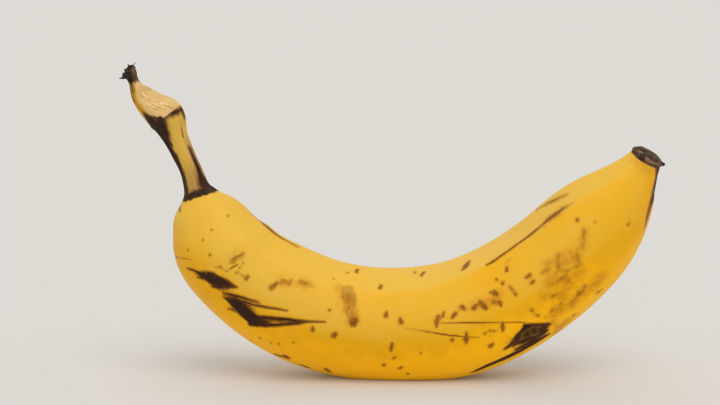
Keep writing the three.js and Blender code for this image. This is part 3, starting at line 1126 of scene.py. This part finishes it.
@dataclass(frozen=True)
class Strand:
    """A thin strand through points, with its half width at its root and at its tip, in mm.

    The points are x, y and z beside the stations, or station, angle and height over the skin. A flat
    strand is thinner than it is wide, by that share, and its broad side faces the torn crown's way.
    """

    points: tuple[tuple[float, float, float], ...]
    root: float
    tip: float
    on_skin: bool = False
    flat: float = 1.0
    facing: tuple[float, float, float] = (0.5, -0.72, 0.48)
    wobble: float = 0.3
    rows: int = 14
    sides: int = 8

    def mesh(self, skin: Skin, seed: int) -> tuple[np.ndarray, np.ndarray]:
        """A tube round a spline through the points.

        Args:
            skin: the skin that it grows from.
            seed: picks how its width wobbles.

        Returns:
            Points in mm and faces.
        """
        if self.on_skin:
            raw = np.array([skin.over(*point) for point in self.points])
        else:
            raw = np.array(self.points) + skin.move
        line = Spline(np.concatenate([2 * raw[:1] - raw[1:2], raw, 2 * raw[-1:] - raw[-2:-1]]))
        share = np.linspace(0.0, 1.0, self.rows)
        centre, slope = line.at(share * line.last)
        along = slope / np.linalg.norm(slope, axis=1, keepdims=True)
        side = np.cross(along, np.array(self.facing))
        side /= np.linalg.norm(side, axis=1, keepdims=True)
        other = np.cross(along, side)
        turn = np.linspace(0.0, 2 * np.pi, self.sides, endpoint=False)
        width = self.root + (self.tip - self.root) * share**1.5
        swell = np.sin(7 * share + seed)[:, None]
        swell = swell * np.sin(5 * share[:, None] + 3 * turn[None] + seed)
        reach = width[:, None] * (1.0 + self.wobble * swell)
        grid = centre[:, None] + side[:, None] * (np.cos(turn) * reach)[..., None]
        grid = grid + other[:, None] * (np.sin(turn) * reach * self.flat)[..., None]
        ends = centre[[0, -1]] + along[[0, -1]] * np.array([[-0.4], [0.6]]) * width[[0, -1], None]
        points = np.concatenate([ends[:1], grid.reshape(-1, 3), ends[1:]])
        return points, closed_faces(self.rows, self.sides)


@dataclass(frozen=True)
class Strands:
    """A few strands joined as one piece."""

    name: str
    strands: tuple[Strand, ...]

    def build(self, skin: Skin, material: bpy.types.Material) -> bpy.types.Object:
        """Makes the piece.

        Args:
            skin: the skin that they grow from.
            material: their finish.

        Returns:
            The object.
        """
        points, faces, count = [], [], 0
        for seed, strand in enumerate(self.strands):
            more, sides = strand.mesh(skin, seed)
            faces.append(np.where(sides < 0, -1, sides + count))
            points.append(more)
            count += len(more)
        return make_object(self.name, np.concatenate(points) * MM, np.concatenate(faces), material)


DRY_FIBRES = Strands(
    "dry_fibres",
    (
        Strand(
            ((-85.4, 0.0, 100.5), (-86.8, -0.4, 100.3), (-87.8, -0.6, 100.7), (-88.3, -0.7, 100.4)),
            1.3,
            0.75,
        ),
        Strand(((-87.4, -0.6, 100.2), (-88.4, -0.8, 99.8), (-89.7, -0.9, 99.7)), 0.55, 0.1),
        Strand(((-86.1, -0.3, 101.9), (-87.2, -0.7, 102.1), (-87.7, -0.8, 102.6)), 0.85, 0.4),
        Strand(((-85.5, 0.2, 103.2), (-84.9, 0.4, 104.2), (-84.3, 0.6, 104.8)), 0.2, 0.05),
        Strand(((-85.8, -0.4, 103.0), (-86.5, -0.6, 104.0), (-87.1, -0.6, 104.3)), 0.18, 0.05),
        Strand(((-85.1, -1.0, 98.0), (-85.7, -1.5, 100.2), (-85.3, -1.4, 102.0)), 0.34, 0.1),
        Strand(((-84.5, 0.9, 97.6), (-84.9, 1.4, 99.8), (-85.1, 1.0, 101.9)), 0.3, 0.1),
        Strand(((-84.1, -0.9, 97.2), (-84.4, -1.2, 99.0), (-84.8, -1.0, 101.2)), 0.26, 0.08),
        Strand(((29.2, -92.0, -0.5), (29.24, -89.0, 0.2), (29.26, -86.0, 0.7)), 0.8, 0.5, True),
    ),
)
TORN_FIBRES = Strands(
    "torn_fibres",
    (
        Strand(((5.2, 18.0, -0.1), (5.8, 20.0, 0.15), (6.3, 23.0, 0.3)), 0.5, 0.12, True, 0.3),
        Strand(((5.5, 38.0, -0.1), (6.1, 40.0, 0.15), (6.6, 43.0, 0.3)), 0.55, 0.16, True, 0.3),
        Strand(((6.0, 58.0, -0.1), (6.5, 60.0, 0.2), (6.85, 63.0, 0.5)), 0.5, 0.15, True, 0.3),
        Strand(((4.3, 45.0, -0.1), (4.8, 41.0, 0.1), (5.3, 42.0, 0.2)), 0.4, 0.1, True, 0.3),
        Strand(((3.6, 40.0, -0.1), (4.2, 36.0, 0.1), (4.8, 31.0, 0.2)), 0.3, 0.08, True, 0.4),
    ),
)


# Shader wiring


def tint(red: int, green: int, blue: int) -> Colour:
    """A colour for a shader: screen values go through the screen's curve to amounts of light.

    Args:
        red: screen value from 0 to 255.
        green: the same.
        blue: the same.

    Returns:
        Red, green, blue and an alpha of 1.
    """
    share = np.array([red, green, blue]) / 255.0
    linear = np.where(share <= 0.04045, share / 12.92, ((share + 0.055) / 1.055) ** 2.4)
    return (*linear.tolist(), 1.0)


@dataclass(frozen=True)
class Coat:
    """A colour that comes in as a value eases from low to high, up to a share of the whole."""

    colour: Colour
    low: float
    high: float
    share: float = 1.0


class Wire:
    """A node's output, with arithmetic that adds Math nodes."""

    def __init__(self, graph: "Graph", socket: bpy.types.NodeSocket) -> None:
        """Wraps a socket."""
        self.graph = graph
        self.socket = socket

    def _with(self, operation: str, first: object, second: object = 0.0) -> "Wire":
        """A Math node on two values."""
        return self.graph.node("ShaderNodeMath", {"operation": operation}, {0: first, 1: second})

    def __add__(self, other: object) -> "Wire":
        """Sum."""
        return self._with("ADD", self, other)

    __radd__ = __add__

    def __sub__(self, other: object) -> "Wire":
        """Difference."""
        return self._with("SUBTRACT", self, other)

    def __rsub__(self, other: object) -> "Wire":
        """Difference the other way."""
        return self._with("SUBTRACT", other, self)

    def __mul__(self, other: object) -> "Wire":
        """Product."""
        return self._with("MULTIPLY", self, other)

    __rmul__ = __mul__

    def larger(self, other: object) -> "Wire":
        """The larger of two values."""
        return self._with("MAXIMUM", self, other)

    def smaller(self, other: object) -> "Wire":
        """The smaller of two values."""
        return self._with("MINIMUM", self, other)

    def step(self, low: float, high: float) -> "Wire":
        """Eases from 0 to 1.

        Args:
            low: the value that gives 0.
            high: the value that gives 1.

        Returns:
            The eased value.
        """
        settings = {"interpolation_type": "SMOOTHSTEP"}
        sockets = {"Value": self, "From Min": low, "From Max": high}
        return self.graph.node("ShaderNodeMapRange", settings, sockets)


class Graph:
    """A node tree with short ways to add to it."""

    def __init__(self, block: bpy.types.Material | bpy.types.World) -> None:
        """Empties the node tree of a material or a world.

        Args:
            block: the material or world.
        """
        block.use_nodes = True
        self.block = block
        self.tree = block.node_tree
        self.tree.nodes.clear()

    def node(
        self, kind: str, settings: dict[str, object], inputs: dict[object, object], output: object = 0
    ) -> Wire:
        """Adds a node.

        Args:
            kind: the node's type.
            settings: its own settings, set before its inputs.
            inputs: values or wires for its sockets, by name or number.
            output: the output to hand back.

        Returns:
            That output.
        """
        node = self.tree.nodes.new(kind)
        for key, value in settings.items():
            setattr(node, key, value)
        for key, value in inputs.items():
            if isinstance(value, Wire):
                self.tree.links.new(value.socket, node.inputs[key])
            else:
                node.inputs[key].default_value = value
        return Wire(self, node.outputs[output])

    def attribute(self, name: str, output: str = "Fac") -> Wire:
        """A field of the mesh."""
        settings = {"attribute_type": "GEOMETRY", "attribute_name": name}
        return self.node("ShaderNodeAttribute", settings, {}, output)

    def place(self) -> Wire:
        """Object coordinates, in metres."""
        return self.node("ShaderNodeTexCoord", {}, {}, "Object")

    def stretched(self, vector: Wire, scale: tuple[float, float, float]) -> Wire:
        """A vector scaled along each axis."""
        return self.node("ShaderNodeVectorMath", {"operation": "MULTIPLY"}, {0: vector, 1: scale})

    def noise(self, vector: Wire, scale: float, detail: float = 3.0, roughness: float = 0.55) -> Wire:
        """Noise round 0, mostly from -0.5 to 0.5."""
        sockets = {"Vector": vector, "Scale": scale, "Detail": detail, "Roughness": roughness}
        return self.node("ShaderNodeTexNoise", {}, sockets, "Fac") - 0.5

    def warp(self, vector: Wire, scale: float, reach: float) -> Wire:
        """A wandering vector, up to about a quarter of reach long.

        Args:
            vector: coordinates of the noise.
            scale: its lattice cells for each unit.
            reach: how far it reaches, in mm.

        Returns:
            The vector.
        """
        sockets = {"Vector": vector, "Scale": scale, "Detail": 3.0, "Roughness": 0.6}
        noise = self.node("ShaderNodeTexNoise", {}, sockets, "Color")
        middle = (0.5, 0.5, 0.5)
        even = self.node("ShaderNodeVectorMath", {"operation": "SUBTRACT"}, {0: noise, 1: middle})
        return self.stretched(even, (reach, reach, reach))

    def mark(self, kind: Mark, warp: Wire, slack: float = 0.5) -> Wire:
        """How deep inside a mark's wandering edge a place is, in mm.

        Args:
            kind: a kind whose way and half width the skin carries.
            warp: how the edge wanders; it wanders less where the mark is thin.
            slack: how much deeper the place may be than the skin's coarser field says.

        Returns:
            The depth, negative outside.
        """
        way = self.attribute(f"{kind.value}_way", "Vector")
        half = self.attribute(f"{kind.value}_half")
        share = (half * 0.5 + 0.12).smaller(1.0)
        tamed = self.node("ShaderNodeVectorMath", {"operation": "SCALE"}, {0: warp, "Scale": share})
        moved = self.node("ShaderNodeVectorMath", {"operation": "ADD"}, {0: way, 1: tamed})
        length = self.node("ShaderNodeVectorMath", {"operation": "LENGTH"}, {0: moved}, "Value")
        return (half - length).smaller(self.attribute(kind.value) + slack)

    def mix(self, share: object, first: object, second: object) -> Wire:
        """A colour between two colours."""
        return self.node("ShaderNodeMix", {"data_type": "RGBA"}, {0: share, 6: first, 7: second}, 2)

    def blend(self, share: object, first: object, second: object) -> Wire:
        """A number between two numbers."""
        return self.node("ShaderNodeMix", {"data_type": "FLOAT"}, {0: share, 2: first, 3: second}, 0)

    def coat(self, under: object, value: Wire, coat: Coat) -> Wire:
        """A colour with a coat laid over it where a value is high."""
        return self.mix(value.step(coat.low, coat.high) * coat.share, under, coat.colour)

    def finish(self, colour: Wire, roughness: Wire, bump: Wire, specular: float) -> bpy.types.Material:
        """Wires the surface shader.

        Args:
            colour: base colour.
            roughness: roughness.
            bump: height in metres.
            specular: how strongly it mirrors; 0.5 is plain plastic.

        Returns:
            The material.
        """
        relief = {"Height": bump, "Strength": 1.0, "Distance": 1.0}
        normal = self.node("ShaderNodeBump", {}, relief, "Normal")
        surface = {"Base Color": colour, "Roughness": roughness, "Normal": normal}
        shader = self.node("ShaderNodeBsdfPrincipled", {}, {**surface, "Specular IOR Level": specular})
        output = self.tree.nodes.new("ShaderNodeOutputMaterial")
        self.tree.links.new(shader.socket, output.inputs["Surface"])
        return self.block


# Finishes


class Weave:
    """The patterns that the peel's finish shares: coordinates, noises and wandering edges.

    Noise counts cells for each metre of place, or for each mm along and round the fruit on its grain.
    """

    def __init__(self, g: Graph) -> None:
        """Adds them to a node tree.

        Args:
            g: the node tree.
        """
        self.place = g.place()
        self.grain = g.attribute("grain", "Vector")
        self.streak = g.noise(g.stretched(self.grain, (0.10, 1.0, 1.0)), 1.0, 4.0)
        self.fine = g.noise(g.stretched(self.grain, (0.35, 3.2, 3.2)), 1.0, 3.0)
        self.band = g.noise(g.stretched(self.grain, (0.07, 0.42, 0.42)), 1.0, 3.0)
        self.fibre = g.noise(g.stretched(self.grain, (0.3, 0.9, 0.9)), 1.0, 4.0)
        self.cloud = g.noise(self.place, 55.0, 3.0)
        self.fleck = g.noise(self.place, 420.0, 2.0, 0.6)
        self.blotch = g.noise(self.place, 260.0, 2.0)
        self.edge = g.noise(self.place, 520.0, 3.0, 0.65)
        self.grit = g.noise(self.place, 900.0, 2.0)
        self.frayed = g.warp(g.stretched(self.grain, (0.14, 1.5, 1.5)), 1.0, 2.2)
        self.ragged = g.warp(self.place, 620.0, 1.7)
        self.scratchy = g.warp(self.place, 900.0, 1.8)
        self.cracked = g.warp(self.place, 900.0, 0.8)
        smear = g.mark(Mark.SMEAR, g.warp(self.place, 480.0, 2.2))
        patchy = (self.blotch + self.edge * 0.35).step(-0.25, 0.25)
        self.smear = smear.step(-0.6, 0.8) * (0.36 + 0.4 * patchy)


HALO = tint(192, 130, 0)
CHAR = tint(40, 21, 5)


@dataclass(frozen=True)
class PeelFinish:
    """The waxy ripe peel with its marks, the dry stem, the torn crown and the scar.

    A mark's coat and its edge ease over the depth inside the mark, in mm; the other coats ease over
    how deep the yellow is, which carries painted light, or over a noise. Heights of the bump are in mm.
    """

    # pale, ripe, deep and the coat after them follow how deep the yellow is. The step from pale on the
    # upper face to ripe past its ridges is painted light and shade; deep and the brightest yellow low on
    # the outer curve are partly the fruit's own colour and partly painted bounce light.
    pale: Colour = tint(218, 172, 56)
    ripe: Coat = Coat(tint(222, 162, 4), 0.0, 0.55)
    deep: Coat = Coat(tint(250, 183, 0), 0.45, 1.05)
    belly_painted_bounce: Coat = Coat(tint(254, 192, 0), 1.0, 1.35)
    fleck: Coat = Coat(tint(176, 116, 22), 0.29, 0.38, 0.35)
    stain: Colour = tint(182, 112, 2)
    stain_edge: Pair = (-2.2, 2.4)
    smear: Colour = tint(148, 96, 0)
    scuff_halo: Coat = Coat(HALO, -0.5, 0.1, 0.4)
    scuff: Coat = Coat(tint(118, 64, 4), -0.18, 0.24, 0.85)
    spot_halo: Coat = Coat(HALO, -0.75, 0.2, 0.65)
    spot_small: Colour = tint(112, 66, 0)
    spot_large: Colour = tint(142, 86, 0)
    spot_sizes: Pair = (0.35, 0.9)
    spot_heart: Coat = Coat(tint(112, 60, 0), 0.2, 1.2)
    spot_fade: Coat = Coat(HALO, 0.0, 0.4, 0.45)
    spot_edge: Pair = (-0.32, 0.52)
    spot_cover: float = 0.93
    bruise_slack: float = 0.42
    spot_slack: float = 0.38
    bruise_rim: Coat = Coat(tint(122, 62, 0), -0.7, 0.0, 0.7)
    bruise: Colour = tint(46, 22, 0)
    bruise_worn: Coat = Coat(tint(94, 46, 0), -0.2, 0.22, 0.85)
    bruise_edge: Pair = (-0.22, 0.4)
    patch: Colour = tint(60, 32, 0)
    patch_worn: Coat = Coat(tint(124, 86, 10), -0.1, 0.22, 0.8)
    stem: Colour = tint(208, 168, 70)
    stem_shade: Coat = Coat(tint(172, 134, 66), -0.1, 1.1)
    stem_pink: Colour = tint(176, 134, 92)
    pink_share: float = 0.85
    peel_strip: Coat = Coat(tint(196, 134, 6), -0.4, 0.3)
    char_rim: Colour = tint(120, 78, 28)
    char_rim_share: float = 0.75
    char_worn: Coat = Coat(tint(86, 58, 24), -0.06, 0.4, 0.8)
    crease: Coat = Coat(CHAR, -0.25, 0.15, 0.85)
    flesh: Colour = tint(213, 179, 122)
    flesh_fibre: Coat = Coat(tint(190, 144, 78), -0.15, 0.4, 0.6)
    wick: Colour = tint(36, 25, 17)
    wick_worn: Coat = Coat(tint(118, 94, 66), 0.0, 0.5)
    scar_deep: Colour = tint(54, 39, 25)
    scar: Coat = Coat(tint(98, 74, 55), -0.2, 0.2)
    # Painted highlight on the scar's rim, laid where the glint strokes run
    scar_glint: Coat = Coat(tint(172, 132, 104), -0.6, 0.7, 0.6)
    roughness: float = 0.44
    stem_roughness: float = 0.56
    dry_roughness: float = 0.82
    specular: float = 0.16
    pore_height: float = 0.03
    vein_height: float = 0.04
    bark_height: float = 0.05
    crust_height: float = 0.16

    def material(self) -> bpy.types.Material:
        """Builds the peel's material.

        Returns:
            The material.
        """
        g = Graph(bpy.data.materials.new("ripe_peel"))
        w = Weave(g)
        colour = self._smudges(g, w, self._ripe(g, w))
        colour, spot = self._spots(g, w, colour)
        colour, bruise = self._bruises(g, w, colour)
        marked = bruise.step(-0.3, 0.2).larger(spot.step(-0.1, 0.3))
        colour, dry = self._ends(g, w, self._stem(g, w, colour))
        stem = g.attribute("stem")
        rough = self.roughness + w.cloud * 0.12 + w.grit * 0.1 + marked * 0.1
        rough = g.blend(dry, g.blend(stem, rough, self.stem_roughness), self.dry_roughness)
        height = (w.grit + w.fleck) * self.pore_height + w.fine * self.vein_height
        height = height + dry * w.edge * self.crust_height + stem * w.fine * self.bark_height
        return g.finish(colour, rough, height * MM, self.specular)

    def _ripe(self, g: Graph, w: Weave) -> Wire:
        """Colours the unmarked peel, with the painted light and shade that its depth of yellow carries.

        Args:
            g: the node tree.
            w: the peel's patterns.

        Returns:
            The colour.
        """
        tone_and_painted_light = g.attribute("tone_and_painted_light") + w.cloud * 0.45 + w.streak * 0.12
        colour = g.coat(self.pale, tone_and_painted_light, self.ripe)
        colour = g.coat(g.coat(colour, tone_and_painted_light, self.deep), tone_and_painted_light, self.belly_painted_bounce)
        return g.coat(colour, w.fleck + w.cloud * 0.3, self.fleck)

    def _smudges(self, g: Graph, w: Weave, colour: Wire) -> Wire:
        """Lays on the soft stains, the smears and the fine scuffs.

        Args:
            g: the node tree.
            w: the peel's patterns.
            colour: the colour so far.

        Returns:
            The colour with them.
        """
        stain = (g.attribute("stain") + w.blotch * 2.4 + w.edge).step(*self.stain_edge)
        patchy = (w.blotch + w.edge * 0.5).step(-0.35, 0.25)
        colour = g.mix(stain * (0.2 + 0.5 * patchy), colour, self.stain)
        colour = g.mix(w.smear, colour, self.smear)
        scuff = g.mark(Mark.SCUFF, w.scratchy) + w.streak * 0.3
        return g.coat(g.coat(colour, scuff, self.scuff_halo), scuff, self.scuff)

    def _spots(self, g: Graph, w: Weave, colour: Wire) -> tuple[Wire, Wire]:
        """Lays on the spots, small ones dark and large ones paler.

        Args:
            g: the node tree.
            w: the peel's patterns.
            colour: the colour so far.

        Returns:
            The colour with them, and the depth inside them in mm.
        """
        spot = g.mark(Mark.SPOT, w.ragged, self.spot_slack)
        size = g.attribute("spot_half").step(*self.spot_sizes)
        core = g.mix(size, self.spot_small, g.coat(self.spot_large, spot, self.spot_heart))
        core = g.coat(core, w.blotch + w.edge, self.spot_fade)
        colour = g.coat(colour, spot, self.spot_halo)
        return g.mix(spot.step(*self.spot_edge) * self.spot_cover, colour, core), spot

    def _bruises(self, g: Graph, w: Weave, colour: Wire) -> tuple[Wire, Wire]:
        """Lays on the black bruises, one of them worn to a brown patch.

        Args:
            g: the node tree.
            w: the peel's patterns.
            colour: the colour so far.

        Returns:
            The colour with them, and the depth inside them in mm.
        """
        bruise = g.mark(Mark.BRUISE, w.frayed, self.bruise_slack)
        black = g.coat(self.bruise, w.band + w.edge * 0.5 - bruise * 0.12, self.bruise_worn)
        patch = g.coat(self.patch, w.edge + w.cloud * 0.4, self.patch_worn)
        black = g.mix(g.attribute("worn").step(-0.4, 0.4) * bruise.step(-0.1, 0.9), black, patch)
        colour = g.coat(colour, bruise, self.bruise_rim)
        return g.mix(bruise.step(*self.bruise_edge), colour, black), bruise

    def _stem(self, g: Graph, w: Weave, colour: Wire) -> Wire:
        """Colours the stem: an olive front, a pinkish inner side and dry dark bands.

        Args:
            g: the node tree.
            w: the peel's patterns.
            colour: the colour so far.

        Returns:
            The colour with the stem.
        """
        bark = g.coat(self.stem, g.attribute("age") + w.band * 0.9, self.stem_shade)
        bark = g.mix(g.attribute("inner") * self.pink_share, bark, self.stem_pink)
        bark = g.coat(bark, g.attribute("ripe"), self.peel_strip)
        bark = g.mix(w.smear, bark, self.smear)
        dark = g.attribute("dark") + w.band * 0.5 + w.streak * 0.3
        char = g.attribute("char") + w.edge * 0.8 + w.band * 1.2
        rim = dark.step(-0.05, 0.65).larger(char.step(-1.5, 0.2))
        bark = g.mix(rim * self.char_rim_share, bark, self.char_rim)
        burnt = g.coat(CHAR, w.band + w.edge * 0.6, self.char_worn)
        bark = g.mix(dark.step(0.32, 0.95).larger(char.step(-0.5, 0.6)), bark, burnt)
        bark = g.coat(bark, g.mark(Mark.CREASE, w.cracked), self.crease)
        return g.mix(g.attribute("stem"), colour, bark)

    def _ends(self, g: Graph, w: Weave, colour: Wire) -> tuple[Wire, Wire]:
        """Colours the torn crown, the wick and the scar, with painted highlights on the scar's rim.

        Args:
            g: the node tree.
            w: the peel's patterns.
            colour: the colour so far.

        Returns:
            The colour with them, and how dry it is, from 0 to 1.
        """
        flesh, wick, scar = g.attribute("flesh"), g.attribute("wick"), g.attribute("scar")
        pulp = g.coat(self.flesh, w.fibre + w.edge * 0.4, self.flesh_fibre)
        colour = g.mix(flesh, colour, g.mix(w.smear * 0.8, pulp, self.smear))
        worn = w.fine + w.edge + g.attribute("inner") * 0.3
        colour = g.mix(wick, colour, g.coat(self.wick, worn, self.wick_worn))
        crust = g.coat(self.scar_deep, w.edge + w.blotch, self.scar)
        crust = g.coat(crust, g.attribute("glint") + w.edge * 1.4 + w.grit * 0.8, self.scar_glint)
        return g.mix(scar, colour, crust), flesh.larger(wick).larger(scar)


@dataclass(frozen=True)
class GrainFinish:
    """Two colours mixed by one fine noise, which also moves the roughness and the bump.

    The noise counts cells for each metre, and the bump is in mm.
    """

    name: str
    colour: Colour
    other: Coat
    cells: float
    roughness: float
    spread: float
    bump: float
    specular: float = 0.3
    detail: float = 3.0
    harshness: float = 0.6

    def material(self) -> bpy.types.Material:
        """Builds the material.

        Returns:
            The material.
        """
        g = Graph(bpy.data.materials.new(self.name))
        noise = g.noise(g.place(), self.cells, self.detail, self.harshness)
        rough = self.roughness + noise * self.spread
        colour = g.coat(self.colour, noise, self.other)
        return g.finish(colour, rough, noise * (self.bump * MM), self.specular)


TORN_FINISH = GrainFinish(
    "torn_fibre", tint(228, 196, 134), Coat(tint(196, 150, 84), -0.15, 0.3),
    cells=900.0, roughness=0.78, spread=0.2, bump=0.08,
)
DRY_FINISH = GrainFinish(
    "dry_fibre", tint(38, 26, 17), Coat(tint(112, 88, 58), -0.05, 0.3),
    cells=700.0, roughness=0.8, spread=0.2, bump=0.1,
)
FLOOR_FINISH = GrainFinish(
    "pale_floor", tint(210, 208, 205), Coat(tint(208, 206, 203), -0.3, 0.3),
    cells=260.0, roughness=0.9, spread=0.05, bump=0.01, specular=0.0, detail=2.0, harshness=0.55,
)


# The studio


@dataclass(frozen=True)
class Sun:
    """A wide soft light from far away: where it stands in degrees, how wide it is, and its strength."""

    name: str
    azimuth: float
    elevation: float
    width: float
    strength: float
    colour: tuple[float, float, float] = (1.0, 1.0, 1.0)

    def build(self) -> bpy.types.Object:
        """Makes the light; an azimuth of 0 is in front of the fruit and 90 is at its right.

        Returns:
            The light object.
        """
        data = bpy.data.lights.new(self.name, "SUN")
        data.angle = math.radians(self.width)
        data.energy = self.strength
        data.color = self.colour
        turn, up = math.radians(self.azimuth), math.radians(self.elevation)
        toward = Vector((math.sin(turn) * math.cos(up), -math.cos(turn) * math.cos(up), math.sin(up)))
        light = bpy.data.objects.new(self.name, data)
        light.location = toward
        light.rotation_mode = "QUATERNION"
        light.rotation_quaternion = toward.to_track_quat("Z", "Y")
        bpy.context.scene.collection.objects.link(light)
        return light


@dataclass(frozen=True)
class Studio:
    """Pale floor, wide soft lights and a pale surround that is lighter overhead."""

    floor_side: float = 60.0
    low: Colour = tint(238, 235, 230)
    high: Coat = Coat(tint(255, 254, 251), 0.02, 0.8)
    surround: float = 0.84
    suns: tuple[Sun, ...] = (
        Sun("key", 20.0, 58.0, 44.0, 1.0, (1.0, 0.985, 0.96)),
        Sun("fill", -4.0, 6.0, 40.0, 0.8),
        Sun("back", 200.0, 40.0, 40.0, 0.15),
    )

    def build(self) -> None:
        """Makes the floor, the lights and the surround."""
        half = self.floor_side / 2
        points = np.array([(-half, -half, 0), (half, -half, 0), (half, half, 0), (-half, half, 0)])
        floor = make_object("floor", points, np.array([[0, 1, 2, 3]]), FLOOR_FINISH.material())
        for sun in self.suns:
            sun.build()
        world = bpy.data.worlds.new("surround")
        g = Graph(world)
        toward = g.node("ShaderNodeTexCoord", {}, {}, "Generated")
        height = g.node("ShaderNodeSeparateXYZ", {}, {0: toward}, "Z")
        colour = g.coat(self.low, height, self.high)
        background = g.node("ShaderNodeBackground", {}, {"Color": colour, "Strength": self.surround})
        output = g.tree.nodes.new("ShaderNodeOutputWorld")
        g.tree.links.new(background.socket, output.inputs["Surface"])
        scene = bpy.context.scene
        scene.world = world
        scene.view_settings.view_transform = "Standard"


def dress(piece: bpy.types.Object) -> None:
    """Says what a finished piece rides on, and logs it.

    Args:
        piece: the piece.
    """
    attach(piece, "root")
    piece.data.calc_loop_triangles()
    LOG.info("%s: %d triangles", piece.name, len(piece.data.loop_triangles))


def main() -> None:
    """Builds the banana and its studio."""
    logging.basicConfig(level=logging.INFO, format="%(name)s %(message)s")
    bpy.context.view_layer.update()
    Studio().build()
    skin = Skin()
    skin.view.camera()
    peel = skin.build(PeelFinish().material())
    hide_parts("banana")
    dress(peel)
    dress(DRY_FIBRES.build(skin, DRY_FINISH.material()))
    dress(TORN_FIBRES.build(skin, TORN_FINISH.material()))


if __name__ == "__main__":
    main()
